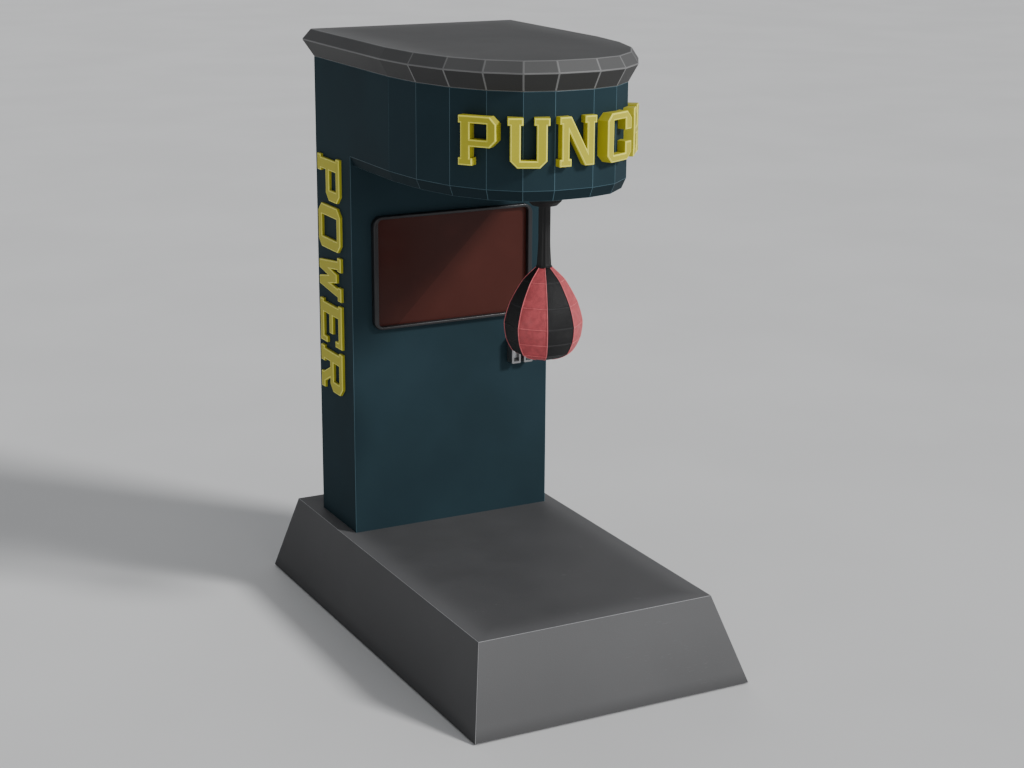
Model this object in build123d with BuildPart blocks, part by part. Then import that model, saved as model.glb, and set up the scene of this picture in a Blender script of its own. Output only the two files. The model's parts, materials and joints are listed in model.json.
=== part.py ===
"""Boxing punch machine: a swinging punch bag under a bonnet head, on a column and a heavy base.

Millimetres. The origin is the middle of the base on the floor, +Z is up, the player stands at -Y and
+X is the player's right.
"""

import math
import os

from build123d import *

# ---------------------------------------------------------------- driving dimensions
# Overall
total_height = 2200.0
sheet = 2.0                    # wall of every folded steel panel
panel_gap = 2.0                # gap round a door or a loose panel
touch_gap = 0.3                # clearance between pieces of different bodies

# Base
base_width = 1088.0
base_depth = 1850.0
base_height = 303.0
base_side_inset = 81.0
base_front_inset = 138.0
base_rear_inset = 80.0
base_rim_clearance = 5.0
frame_tube = 50.0
frame_tube_height = 40.0
frame_wall = 3.0
frame_level = 30.0             # underside of the base frame
frame_gap = 6.0                # from the frame to the sloping sides
riser_size = 60.0
riser_cap = 8.0
riser_set_back = 90.0          # front edge of the base top to the first risers
foot_radius = 30.0
foot_pad_height = 12.0
stud_radius = 6.0
stud_reach = 28.0              # how far a foot stud goes into its tube
nut_height = 8.0
nut_across_flats = 19.0
slab_width = 620.0
slab_depth = 420.0
slab_thickness = 20.0
slab_count = 2
slab_corner = 12.0

# Column
column_width = 828.0
width_scale = column_width / 828.0   # for all that spans the column or the head
column_depth = 330.0
column_set_back = 228.0        # rear of the column to the rear of the base
post_size = 40.0
post_wall = 3.0
foot_plate = 80.0
foot_plate_thickness = 8.0
bolt_radius = 6.0
bolt_clearance = 0.75
bolt_head_height = 7.5
bolt_inset = 20.0
flange_width = 28.0            # return along the rear edge of each side panel
shelf_thickness = 3.0

# Head
head_height = 470.0
skirt_height = 37.0
skirt_inset = 16.0
cap_height = 103.0
cap_ridge_height = 63.0
cap_ridge_overhang = 34.5
cap_top_overhang = 8.5
cap_wall = 4.0
head_reach = 936.0             # front of the column to the front of the head
# Bends of one half of the fascia: in from the side, back from the front
fascia_bends = [(341.0 * width_scale, 0.0), (237.0 * width_scale, 30.0), (143.0 * width_scale, 112.5),
                (68.0 * width_scale, 237.5), (20.0 * width_scale, 400.5), (0.0, 583.5)]

# Swing arm and bag
axle_rise = 65.0               # axle above the underside of the head
axle_radius = 12.5
axle_half_length = 98.0
arm_set_forward = 734.0        # arm in front of the column
arm_radius = 17.0
arm_wall = 3.0
arm_reach_in_bag = 63.0
sleeve_radius = 21.0
sleeve_flare_radius = 26.0
sleeve_flare_length = 93.0
collar_drop = 5.0              # collar's top below the underside of the head
collar_height = 45.0
collar_radius = 60.0
collar_tip_radius = 45.0
collar_shoulder = 15.0
bag_radius = 139.0
bag_height = 335.0
bag_drop = 332.0               # axle to the top of the bag
# Half section of the bag: shares of its radius and of its height, down from the neck
bag_section = [(0.53, 0.14), (0.86, 0.38), (1.0, 0.59), (0.95, 0.76), (0.79, 0.89), (0.5, 0.975)]
running_fit = 0.05
hub_radius = 32.0
hub_half_length = 34.0
hub_boss_radius = 24.0
hub_boss_reach = 58.0
arm_socket = 4.0               # how far the arm goes past the hub's barrel
slot_side_gap = 6.0
slot_front = 38.0
slot_rear = 206.0
trim_lip = 5.0
trim_wrap = 2.0                # trim on each side of the sheet and inside the slot
buffer_width = 220.0
buffer_depth = 170.0
buffer_thickness = 20.0
buffer_set_back = 465.0        # axle to the buffer pad
buffer_corner = 20.0
buffer_round = 6.0

# Cradle that carries the axle
beam_width = 40.0
beam_height = 60.0
beam_inner_face = 85.0
beam_rise = 55.0               # axle to the underside of the beams
beam_reach = 115.0             # beams in front of the axle
nose_bar_half = 190.0 * width_scale
nose_bar_size = 40.0
cross_rail_height = 40.0
cheek_thickness = 10.0
cheek_half_length = 70.0
cheek_drop = 40.0
bush_radius = 20.0
bush_flange_radius = 28.0
bush_flange_thickness = 4.0
bush_tail = 5.0
ring_radius = 18.0
ring_thickness = 2.0
ring_gap = 1.0
axle_chamfer = 1.0

# Latch
catch_thickness = 8.0
catch_length = 72.0
catch_width = 20.0
catch_angle = 116.0            # of the finger from +Y while the arm hangs
latch_radius = 6.0
latch_offset = 55.0
latch_travel = 14.0
latch_slack = 4.0
latch_gap = 1.0
guide_gap = 0.1
solenoid_size = 40.0
solenoid_length = 55.0
latch_head_radius = 10.0
latch_head_thickness = 4.0
latch_tail_gap = 2.0
latch_tip_chamfer = 1.5
solenoid_round = 4.0
spring_gap = 0.2
catch_eye_inset = 2.0
spring_wire = 0.8
spring_turns = 5

# Speed sensor
disc_radius = 50.0
disc_thickness = 2.0
disc_offset = 50.0
disc_slots = 24
disc_hub_radius = 20.0
disc_slot_inset = 6.0
disc_slot_length = 8.0
disc_slot_width = 4.0
sensor_width = 24.0
sensor_gap = 1.5
sensor_depth = 14.0
sensor_arm = 6.0
sensor_crown = 10.0

# Screen
screen_width = column_width - 160.0
screen_height = 434.0
screen_centre_height = 1320.0
screen_corner = 36.0
bezel_depth = 25.0
bezel_side = 19.0
bezel_bar = 12.0
bezel_round = 4.0
window_thickness = 5.0
window_rebate = 8.0
panel_window_margin = 14.0
digit_count = 4
digit_width = 110.0 * width_scale
digit_height = 190.0
digit_depth = 12.0
digit_set_back = 10.0          # front panel to the digits
digit_corner = 4.0
segment_inset = 1.6            # ends of a segment from the module's sides, in segment widths
segment_joint = 2.0
digit_pitch = 136.0 * width_scale
segment_width = 14.0
segment_depth = 1.0
board_thickness = 2.0
board_margin = 30.0
standoff_radius = 5.0

# Coin entries
coin_centre = column_width / 2 - 129.0
coin_pitch = 52.5
coin_width = 39.0
coin_height = 105.0
coin_bottom = 910.0
coin_proud = 42.0
return_width = 24.0
return_height = 38.0
return_floor = 8.0
return_slope = 10.0
flap_set_back = 20.0
flap_thickness = 2.0
flap_pin_radius = 1.5
flap_gap = 0.5
slot_width = 3.4
slot_height = 30.0
button_radius = 6.0
button_proud = 4.0
button_length = 30.0
button_drop = 26.0             # top of the coin entry to the button
slot_drop = 22.0               # top of the coin entry to the coin slot
slot_x_offset = -9.0
button_x_offset = 7.0
coin_corner = 4.0
coin_chamfer = 1.5
button_round = 1.2
selector_width = 48.0
selector_height = 120.0
selector_depth = 62.0
selector_drop = 5.0            # below the coin entry
selector_mouth_depth = 26.0
selector_button_depth = 20.0
selector_plug_width = 30.0
selector_plug_depth = 6.0
selector_plug_low = 70.0
selector_plug_high = 100.0
chute_width = 106.0
chute_depth = 38.0
chute_wall = 2.0
chute_bottom = 570.0
box_width = 190.0
box_depth = 200.0
box_height = 180.0
box_wall = 2.0
box_side_gap = 12.0
box_front_gap = 4.0
cash_shelf_height = 363.0
upper_shelf_height = 640.0

# Electronics
supply_centre = 250.0 * width_scale
supply_width = 190.0 * width_scale
supply_depth = 105.0
supply_height = 60.0
supply_vent_pitch = 14.0 * width_scale
supply_vent_radius = 3.5
supply_vent_depth = 1.0
controller_width = 200.0 * width_scale
controller_depth = 150.0
controller_rise = 10.0
controller_thickness = 1.6
controller_margin = 20.0
controller_stud_radius = 4.0
# Chips and sockets: middle across and back, width, depth and height
controller_chips = [(-50.0, 20.0, 34.0, 34.0, 3.0), (20.0, 25.0, 20.0, 20.0, 3.0),
                    (60.0, -30.0, 16.0, 50.0, 12.0), (-30.0, -45.0, 70.0, 12.0, 10.0)]
speaker_spread = 235.0 * width_scale
speaker_set_back = 120.0       # axle to the speakers
speaker_radius = 62.0
speaker_rim = 6.0
cone_radius = 52.0
cone_height = 24.0
cone_taper = 32
magnet_radius = 30.0
magnet_low = 25.0
magnet_high = 45.0
grille_pitch = 6.5
grille_rows = 7
grille_hole_radius = 4.0

# Rear
rear_post_gap = 14.0           # rear panels to the rear posts
vent_drop = 150.0              # top of the panel to the middle of the vents
vent_columns = 5
vent_rows = 6
vent_spacing = 90.0
vent_pitch = 18.0
vent_length = 70.0
vent_width = 6.0
screw_head_radius = 5.5
screw_head_height = 3.2
screw_head_round = 1.6
screw_low = 40.0
screw_high = 60.0
door_bottom = 484.0
door_top = 1496.0
door_overlap = 14.0
stiffener_width = 60.0
stiffener_depth = 20.0
stiffener_wall = 2.0
stiffener_inset = 40.0
hinge_length = 90.0
hinge_knuckle_radius = 4.5
hinge_pin_radius = 2.5
hinge_leaf = 2.0
hinge_leaf_width = 24.0
hinge_axis_rise = 5.5
hinge_inset = 130.0            # top and bottom hinges from the door's ends
knuckle_count = 5
knuckle_clearance = 0.8
knuckle_root = 1.0
pin_head_height = 2.0
lock_inset = 34.0
lock_radius = 9.0
lock_face_radius = 12.0
lock_wall = 2.0
lock_face_thickness = 3.0
barrel_proud = 0.4
key_slot_half_width = 0.8
key_slot_half_height = 4.0
key_slot_depth = 7.0
cam_length = 52.0
cam_width = 14.0
cam_thickness = 2.5
cam_set_back = 3.5             # door's inner face to the cam, which clears the panel's flange
inlet_x = -250.0
inlet_height = 392.0
inlet_face_width = 62.0
inlet_face_height = 46.0
inlet_depth = 32.0
inlet_rim = 5.0
socket_offset = -14.0
rocker_offset = 17.0
rocker_sink = 7.0
rocker_hollow = 8.0
socket_width = 24.0
socket_height = 17.0
socket_depth = 20.0
pin_length = 13.0
pin_half_width = 1.0
pin_half_height = 2.0
pin_places = [(-7.0, 3.0), (0.0, -3.0), (7.0, 3.0)]
rocker_radius = 10.4
rocker_width = 13.0
rocker_gap = 0.6

# Letters
letter_proud = 30.0
front_letter_height = 166.0
front_letter_width = 140.0 * width_scale
front_word_span = 796.0 * width_scale
front_letter_bevel = 3.0
side_letter_proud = 12.0
side_letter_height = 208.0
side_letter_width = 168.0
side_word_span = 915.0
side_letter_top = 1740.0
side_letter_inset = 83.0       # front edge of the side panel to the letter tops
side_letter_bevel = 2.5

# ---------------------------------------------------------------- worked-out places
base_half_x = base_width / 2
base_half_y = base_depth / 2
column_half = column_width / 2
column_rear = base_half_y - column_set_back
column_front = column_rear - column_depth
head_front = column_front - head_reach
soffit_z = total_height - head_height
skirt_z = soffit_z + skirt_height
cap_z = total_height - cap_height
side_inner = column_half - sheet
panel_back = column_front + sheet
rear_panel_outer = column_rear - sheet
post_x = side_inner - post_size / 2
post_front_y = panel_back + post_size / 2
post_rear_y = rear_panel_outer - rear_post_gap - post_size / 2
axle_y = column_front - arm_set_forward
axle_z = soffit_z + axle_rise
frame_top = frame_level + frame_tube_height

half_outline = [(column_half - inset, head_front + back) for inset, back in fascia_bends]
side_start = half_outline[-1][1]
half_outline.append((column_half, column_rear))
head_outline = half_outline + [(-x, y) for x, y in reversed(half_outline)]


# ---------------------------------------------------------------- helpers
def save(builder, name):
    """Labels a finished piece and writes it."""
    builder.part.label = name
    export_step(builder.part, f"parts/{name}.step")


def offset_outline(points, distance):
    """Moves every edge of a convex anticlockwise outline outwards and mitres the corners."""
    edges = list(zip(points, points[1:] + points[:1]))
    lines = []
    for (ax, ay), (bx, by) in edges:
        length = math.hypot(bx - ax, by - ay)
        nx = (by - ay) / length
        ny = (ax - bx) / length
        lines.append((nx, ny, nx * ax + ny * ay + distance))
    corners = []
    for (n1x, n1y, d1), (n2x, n2y, d2) in zip(lines[-1:] + lines[:-1], lines):
        det = n1x * n2y - n1y * n2x
        corners.append(((d1 * n2y - d2 * n1y) / det, (n1x * d2 - n2x * d1) / det))
    return corners


def rectangle_outline(x0, y0, x1, y1):
    return [(x0, y0), (x1, y0), (x1, y1), (x0, y1)]


def frustum(lower, lower_z, upper, upper_z):
    """A solid with flat faces between two outlines of the same number of corners."""
    low = [Vector(x, y, lower_z) for x, y in lower]
    high = [Vector(x, y, upper_z) for x, y in upper]
    faces = [Face(Wire.make_polygon(low)), Face(Wire.make_polygon(high))]
    for i in range(len(low)):
        j = (i + 1) % len(low)
        faces.append(Face(Wire.make_polygon([low[i], low[j], high[j], high[i]])))
    return Solid(Shell(faces))


def block(x0, x1, y0, y1, z0, z1, mode=Mode.ADD):
    """A box between two corners, in the part that is being built."""
    with Locations(((x0 + x1) / 2, (y0 + y1) / 2, (z0 + z1) / 2)):
        Box(abs(x1 - x0), abs(y1 - y0), abs(z1 - z0), mode=mode)


def tube(x0, x1, y0, y1, z0, z1, wall, along):
    """A hollow square tube, open at both ends along the named axis."""
    trim = {axis: 0.0 if axis == along else wall for axis in "XYZ"}
    block(x0, x1, y0, y1, z0, z1)
    block(x0 + trim["X"], x1 - trim["X"], y0 + trim["Y"], y1 - trim["Y"],
          z0 + trim["Z"], z1 - trim["Z"], mode=Mode.SUBTRACT)


def rod(radius, start, end, mode=Mode.ADD):
    """A round bar from one point to another."""
    axis = Vector(end) - Vector(start)
    with BuildSketch(Plane(origin=start, z_dir=axis)) as end_face:
        Circle(radius)
    extrude(end_face.sketch, amount=axis.length, mode=mode)


def bar(x0, y0, x1, y1, mode=Mode.ADD):
    """A rectangle between two corners, in the sketch that is being drawn."""
    with Locations(((x0 + x1) / 2, (y0 + y1) / 2)):
        Rectangle(x1 - x0, y1 - y0, mode=mode)


def patch(*points, mode=Mode.ADD):
    """A straight-sided patch, in the sketch that is being drawn."""
    with BuildLine() as edge:
        Polyline(*points, close=True)
    make_face(edge.edges(), mode=mode)


# ---------------------------------------------------------------- block letters
# Each draws one capital in a box w by h, with its lower left corner at the origin.
def strokes(w, h):
    """Stem, bar, serif overhang and corner cut of a letter of this size."""
    return 0.25 * w, 0.15 * h, 0.06 * w, 0.17 * w


def serif(x, y, w, h):
    """A slab across the end of a stem whose left edge is at x."""
    stem, slab, over, _ = strokes(w, h)
    bar(x - over, y, x + stem + over, y + slab)


def bowl(w, h, low):
    """The closed upper half of P and R, down to low, with its stem."""
    stem, slab, over, cut = strokes(w, h)
    patch((0, h), (0, h - slab), (over, h - slab), (over, low), (w - cut, low), (w, low + cut),
          (w, h - cut), (w - cut, h))
    bar(over, 0, over + stem, h)
    serif(over, 0, w, h)
    bar(over + stem, low + slab, w - stem, h - slab, mode=Mode.SUBTRACT)


def ring_letter(w, h):
    """An octagon with a straight-sided hole."""
    stem, slab, _, cut = strokes(w, h)
    patch((cut, 0), (w - cut, 0), (w, cut), (w, h - cut), (w - cut, h), (cut, h), (0, h - cut), (0, cut))
    bar(stem, slab, w - stem, h - slab, mode=Mode.SUBTRACT)


def letter_p(w, h):
    bowl(w, h, 0.38 * h)


def letter_r(w, h):
    stem, slab, over, _ = strokes(w, h)
    bowl(w, h, 0.42 * h)
    patch((0.42 * w, 0.45 * h), (0.42 * w + stem, 0.45 * h), (w - over, 0), (w - over - stem, 0))
    serif(w - over - stem, 0, w, h)


def letter_o(w, h):
    ring_letter(w, h)


def letter_c(w, h):
    stem, _, _, _ = strokes(w, h)
    ring_letter(w, h)
    bar(w - stem, 0.38 * h, w, 0.62 * h, mode=Mode.SUBTRACT)


def letter_u(w, h):
    stem, slab, over, cut = strokes(w, h)
    patch((over, h), (over, cut), (over + cut, 0), (w - over - cut, 0), (w - over, cut), (w - over, h))
    bar(over + stem, slab, w - over - stem, h, mode=Mode.SUBTRACT)
    serif(over, h - slab, w, h)
    serif(w - over - stem, h - slab, w, h)


def letter_n(w, h):
    stem, slab, over, _ = strokes(w, h)
    bar(over, 0, over + 0.8 * stem, h)
    bar(w - over - 0.8 * stem, 0, w - over, h)
    patch((over, h), (over + stem, h), (w - over, 0), (w - over - stem, 0))
    bar(0, h - slab, over + stem, h)
    bar(0, 0, 2 * over + 0.8 * stem, slab)
    bar(w - 2 * over - 0.8 * stem, h - slab, w, h)


def letter_h(w, h):
    stem, slab, over, _ = strokes(w, h)
    for x in (over, w - over - stem):
        bar(x, 0, x + stem, h)
        serif(x, 0, w, h)
        serif(x, h - slab, w, h)
    bar(over, (h - slab) / 2, w - over, (h + slab) / 2)


def letter_w(w, h):
    stem, slab, over, _ = strokes(w, h)
    thin = 0.8 * stem
    tops = [over + thin / 2, w / 2, w - over - thin / 2]
    feet = [0.31 * w, 0.69 * w]
    crown = 0.8 * h
    patch((tops[0] - thin / 2, h), (tops[0] + thin / 2, h), (feet[0] + thin / 2, 0), (feet[0] - thin / 2, 0))
    patch((tops[1] - thin / 2, crown), (tops[1] + thin / 2, crown), (feet[0] + thin / 2, 0),
          (feet[0] - thin / 2, 0))
    patch((tops[1] - thin / 2, crown), (tops[1] + thin / 2, crown), (feet[1] + thin / 2, 0),
          (feet[1] - thin / 2, 0))
    patch((tops[2] - thin / 2, h), (tops[2] + thin / 2, h), (feet[1] + thin / 2, 0), (feet[1] - thin / 2, 0))
    bar(0, h - slab, 2 * over + thin, h)
    bar(w - 2 * over - thin, h - slab, w, h)


def letter_e(w, h):
    stem, slab, over, _ = strokes(w, h)
    tip = 0.14 * w
    bar(over, 0, over + stem, h)
    bar(0, h - slab, w, h)
    bar(0, 0, w, slab)
    bar(over, (h - slab) / 2, 0.74 * w, (h + slab) / 2)
    bar(w - tip, h - 2 * slab, w, h)
    bar(w - tip, 0, w, 2 * slab)


front_word = [letter_p, letter_u, letter_n, letter_c, letter_h]
side_word = [letter_p, letter_o, letter_w, letter_e, letter_r]

os.makedirs("parts", exist_ok=True)

# ---------------------------------------------------------------- base
base_outline = rectangle_outline(-base_half_x, -base_half_y, base_half_x, base_half_y)
top_half_x = base_half_x - base_side_inset
top_front = -base_half_y + base_front_inset
top_rear = base_half_y - base_rear_inset
base_top_outline = rectangle_outline(-top_half_x, top_front, top_half_x, top_rear)
base_top_under = base_height - sheet

post_places = [(side * post_x, y) for side in (-1, 1) for y in (post_front_y, post_rear_y)]


def plate_centre(post):
    """Middle of a foot plate, which reaches inwards from its post."""
    inwards = (foot_plate - post_size) / 2
    x, y = post
    return x - math.copysign(inwards, x), y + (inwards if y == post_front_y else -inwards)


plate_places = [plate_centre(post) for post in post_places]
bolt_places = [(x + step * bolt_inset * math.copysign(1, x * (y - (post_front_y + post_rear_y) / 2)),
                y - step * bolt_inset) for x, y in plate_places for step in (-1, 1)]

with BuildPart() as base_shell:
    add(frustum(base_outline, base_rim_clearance, base_top_outline, base_height))
    add(frustum(offset_outline(base_outline, -sheet), base_rim_clearance,
                offset_outline(base_top_outline, -sheet), base_top_under), mode=Mode.SUBTRACT)
    with BuildSketch(Plane.XY.offset(base_top_under)):
        with Locations(*bolt_places):
            Circle(bolt_radius + bolt_clearance)
    extrude(amount=sheet, mode=Mode.SUBTRACT)
save(base_shell, "base_shell")


def base_slope(inset):
    """How far a sloping side has come in at the top of the base frame."""
    return inset * frame_top / base_height + sheet + frame_gap


frame_half_x = base_half_x - base_slope(base_side_inset)
frame_front = -base_half_y + base_slope(base_front_inset)
frame_rear = base_half_y - base_slope(base_rear_inset)
front_riser_y = top_front + riser_set_back
middle_riser_y = (front_riser_y + post_front_y) / 2
riser_places = plate_places + [(side * abs(plate_places[0][0]), y)
                               for side in (-1, 1) for y in (front_riser_y, middle_riser_y)]
cross_ys = sorted({y for _, y in riser_places})
foot_places = [(side * (frame_half_x - frame_tube / 2), y) for side in (-1, 1)
               for y in (frame_front + frame_tube, middle_riser_y, frame_rear - frame_tube)]

with BuildPart() as base_frame:
    for side in (-1, 1):
        outer = side * frame_half_x
        inner = side * (frame_half_x - frame_tube)
        tube(min(outer, inner), max(outer, inner), frame_front, frame_rear, frame_level, frame_top,
             frame_wall, "Y")
    rail_inner = frame_half_x - frame_tube
    end_ys = [frame_front + frame_tube / 2, frame_rear - frame_tube / 2]
    for y in end_ys + cross_ys:
        tube(-rail_inner, rail_inner, y - frame_tube / 2, y + frame_tube / 2, frame_level, frame_top,
             frame_wall, "X")
    for x, y in riser_places:
        half = riser_size / 2
        tube(x - half, x + half, y - half, y + half, frame_top, base_top_under - riser_cap, frame_wall, "Z")
        half = foot_plate / 2
        block(x - half, x + half, y - half, y + half, base_top_under - riser_cap, base_top_under)
    for x, y in bolt_places:
        rod(bolt_radius, (x, y, base_top_under - riser_cap), (x, y, base_top_under), mode=Mode.SUBTRACT)
    for x, y in foot_places:
        rod(stud_radius, (x, y, frame_level), (x, y, frame_level + frame_wall), mode=Mode.SUBTRACT)
save(base_frame, "base_frame")

with BuildPart() as ballast_slabs:
    for i in range(slab_count):
        bottom = frame_top + i * slab_thickness
        with BuildSketch(Plane.XY.offset(bottom)):
            with Locations((0, (front_riser_y + middle_riser_y) / 2)):
                RectangleRounded(slab_width, slab_depth + frame_tube, slab_corner)
        extrude(amount=slab_thickness - touch_gap)
save(ballast_slabs, "ballast_slabs")

with BuildPart() as levelling_feet:
    with BuildSketch():
        with Locations(*foot_places):
            Circle(foot_radius)
    extrude(amount=foot_pad_height)
    with BuildSketch(Plane.XY.offset(foot_pad_height)):
        with Locations(*foot_places):
            Circle(stud_radius)
    extrude(amount=frame_level - foot_pad_height + stud_reach)
save(levelling_feet, "levelling_feet")

with BuildPart() as foot_nuts:
    with BuildSketch(Plane.XY.offset(frame_level - nut_height)):
        with Locations(*foot_places):
            RegularPolygon(nut_across_flats / 2, 6, major_radius=False)
            Circle(stud_radius, mode=Mode.SUBTRACT)
    extrude(amount=nut_height)
save(foot_nuts, "foot_nuts")

# ---------------------------------------------------------------- column frame
cross_rail_top = axle_z + beam_rise
frame_crown = cap_z - sheet
plate_top = base_height + foot_plate_thickness

with BuildPart() as column_frame:
    half = post_size / 2
    for (x, y), (px, py) in zip(post_places, plate_places):
        tube(x - half, x + half, y - half, y + half, plate_top, frame_crown, post_wall, "Z")
        reach = foot_plate / 2
        block(px - reach, px + reach, py - reach, py + reach, base_height, plate_top)
    for x, y in bolt_places:
        rod(bolt_radius + bolt_clearance, (x, y, base_height), (x, y, plate_top), mode=Mode.SUBTRACT)
    rail_end = post_x - half
    for y in (post_front_y, post_rear_y):
        for top in (cross_rail_top, frame_crown):
            tube(-rail_end, rail_end, y - half, y + half, top - cross_rail_height, top, post_wall, "X")
    for side in (-1, 1):
        x = side * post_x
        for top in (cash_shelf_height, upper_shelf_height):
            tube(x - half, x + half, post_front_y + half, post_rear_y - half, top - post_size, top,
                 post_wall, "Y")
save(column_frame, "column_frame")

with BuildPart() as column_bolts:
    with BuildSketch(Plane.XY.offset(base_top_under - riser_cap)):
        with Locations(*bolt_places):
            Circle(bolt_radius)
    extrude(amount=plate_top - base_top_under + riser_cap)
    with BuildSketch(Plane.XY.offset(plate_top)):
        with Locations(*bolt_places):
            RegularPolygon(nut_across_flats / 2, 6, major_radius=False)
    extrude(amount=bolt_head_height)
save(column_bolts, "column_bolts")

shelf_inner_y = post_front_y + post_size / 2 + panel_gap
shelf_rear_y = post_rear_y - post_size / 2 - panel_gap
shelf_half = side_inner - panel_gap

with BuildPart() as shelves:
    for height in (cash_shelf_height, upper_shelf_height):
        block(-shelf_half, shelf_half, shelf_inner_y, shelf_rear_y, height, height + shelf_thickness)
    notch_half = post_x - post_size / 2 - panel_gap
    block(-notch_half, notch_half, panel_back + panel_gap, shelf_inner_y, cash_shelf_height,
          cash_shelf_height + shelf_thickness)
save(shelves, "shelves")

# ---------------------------------------------------------------- cabinet panels
side_profile = [(column_front, base_height), (column_rear, base_height), (column_rear, cap_z),
                (side_start, cap_z), (side_start, skirt_z), (column_front, skirt_z)]

for side, name in ((-1, "side_panel_left"), (1, "side_panel_right")):
    with BuildPart() as side_panel:
        with BuildSketch(Plane.YZ.offset(side * side_inner)):
            patch(*side_profile)
        extrude(amount=side * sheet)
        block(side * (side_inner - flange_width + sheet), side * side_inner, rear_panel_outer, column_rear,
              base_height, cap_z)
    save(side_panel, name)

window_open_width = screen_width - 2 * bezel_side
window_open_height = screen_height - 2 * bezel_bar
window_corner = screen_corner - bezel_side
panel_open_width = window_open_width - 2 * panel_window_margin
panel_open_height = window_open_height - 2 * panel_window_margin
coin_xs = [coin_centre - coin_pitch / 2, coin_centre + coin_pitch / 2]
coin_front = column_front - coin_proud
return_low = coin_bottom + return_floor
return_high = return_low + return_slope + return_height
button_height = coin_bottom + coin_height - button_drop
slot_centre_height = coin_bottom + coin_height - slot_drop


def front_facing(y):
    """A sketch plane at y that faces the player: x to the right, y up."""
    return Plane(origin=(0, y, 0), x_dir=(1, 0, 0), z_dir=(0, -1, 0))


with BuildPart() as front_panel:
    with BuildSketch(front_facing(panel_back)):
        with Locations((0, (base_height + skirt_z) / 2)):
            Rectangle(2 * side_inner, skirt_z - base_height)
        with Locations((0, screen_centre_height)):
            RectangleRounded(panel_open_width, panel_open_height, window_corner, mode=Mode.SUBTRACT)
        for x in coin_xs:
            bar(x - return_width / 2, return_low, x + return_width / 2, return_high, mode=Mode.SUBTRACT)
            with Locations((x + slot_x_offset, slot_centre_height)):
                SlotOverall(slot_height, slot_width, rotation=90, mode=Mode.SUBTRACT)
            with Locations((x + button_x_offset, button_height)):
                Circle(button_radius + touch_gap, mode=Mode.SUBTRACT)
    extrude(amount=sheet)
save(front_panel, "front_panel")

with BuildPart() as rear_upper_panel:
    block(-side_inner, side_inner, rear_panel_outer - sheet, rear_panel_outer, door_top - door_overlap, cap_z)
    with BuildSketch(Plane.XZ.offset(-rear_panel_outer)):
        with Locations((0, cap_z - vent_drop)):
            with GridLocations(vent_spacing, vent_pitch, vent_columns, vent_rows):
                SlotOverall(vent_length, vent_width)
    extrude(amount=sheet, mode=Mode.SUBTRACT)
save(rear_upper_panel, "rear_upper_panel")

inlet_body_width = inlet_face_width - 2 * inlet_rim
inlet_body_height = inlet_face_height - 2 * inlet_rim
with BuildPart() as rear_lower_panel:
    block(-side_inner, side_inner, rear_panel_outer - sheet, rear_panel_outer, base_height,
          door_bottom + door_overlap)
    block(inlet_x - inlet_body_width / 2, inlet_x + inlet_body_width / 2, rear_panel_outer - sheet,
          rear_panel_outer, inlet_height - inlet_body_height / 2, inlet_height + inlet_body_height / 2,
          mode=Mode.SUBTRACT)
save(rear_lower_panel, "rear_lower_panel")

# Pan heads on the side flanges that hold both rear panels
flange_x = side_inner - (flange_width - sheet) / 2
screw_rows = [base_height + screw_low, door_bottom - screw_low, door_top + screw_high, (door_top + cap_z) / 2,
              cap_z - screw_high]
with BuildPart() as rear_panel_screws:
    with BuildSketch(Plane.XZ.offset(-column_rear)):
        with Locations(*[(side * flange_x, z) for side in (-1, 1) for z in screw_rows]):
            Circle(screw_head_radius)
    extrude(amount=-screw_head_height)
    fillet(rear_panel_screws.faces().sort_by(Axis.Y)[-2 * len(screw_rows):].edges(), screw_head_round)
save(rear_panel_screws, "rear_panel_screws")

# ---------------------------------------------------------------- screen
with BuildPart() as screen_bezel:
    with BuildSketch(front_facing(column_front)):
        with Locations((0, screen_centre_height)):
            RectangleRounded(screen_width, screen_height, screen_corner)
            RectangleRounded(window_open_width, window_open_height, window_corner, mode=Mode.SUBTRACT)
    extrude(amount=bezel_depth)
    fillet(screen_bezel.faces().sort_by(Axis.Y)[0].edges(), bezel_round)
    with BuildSketch(front_facing(column_front)):
        with Locations((0, screen_centre_height)):
            RectangleRounded(window_open_width + 2 * window_rebate, window_open_height + 2 * window_rebate,
                             window_corner + window_rebate)
    extrude(amount=window_thickness, mode=Mode.SUBTRACT)
save(screen_bezel, "screen_bezel")

with BuildPart() as screen_window:
    with BuildSketch(front_facing(column_front)):
        with Locations((0, screen_centre_height)):
            RectangleRounded(window_open_width + 2 * window_rebate, window_open_height + 2 * window_rebate,
                             window_corner + window_rebate)
    extrude(amount=window_thickness)
save(screen_window, "screen_window")

digit_front = panel_back + digit_set_back
board_front = digit_front + digit_depth
board_width = panel_open_width + 2 * board_margin
board_height = panel_open_height + 2 * board_margin
digit_xs = [(i - (digit_count - 1) / 2) * digit_pitch for i in range(digit_count)]

with BuildPart() as score_board:
    block(-board_width / 2, board_width / 2, board_front, board_front + board_thickness,
          screen_centre_height - board_height / 2, screen_centre_height + board_height / 2)
    with BuildSketch(front_facing(board_front)):
        with Locations((0, screen_centre_height)):
            with GridLocations(board_width - board_margin, board_height - board_margin, 2, 2):
                Circle(standoff_radius)
    extrude(amount=board_front - panel_back)
save(score_board, "score_board")

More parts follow.
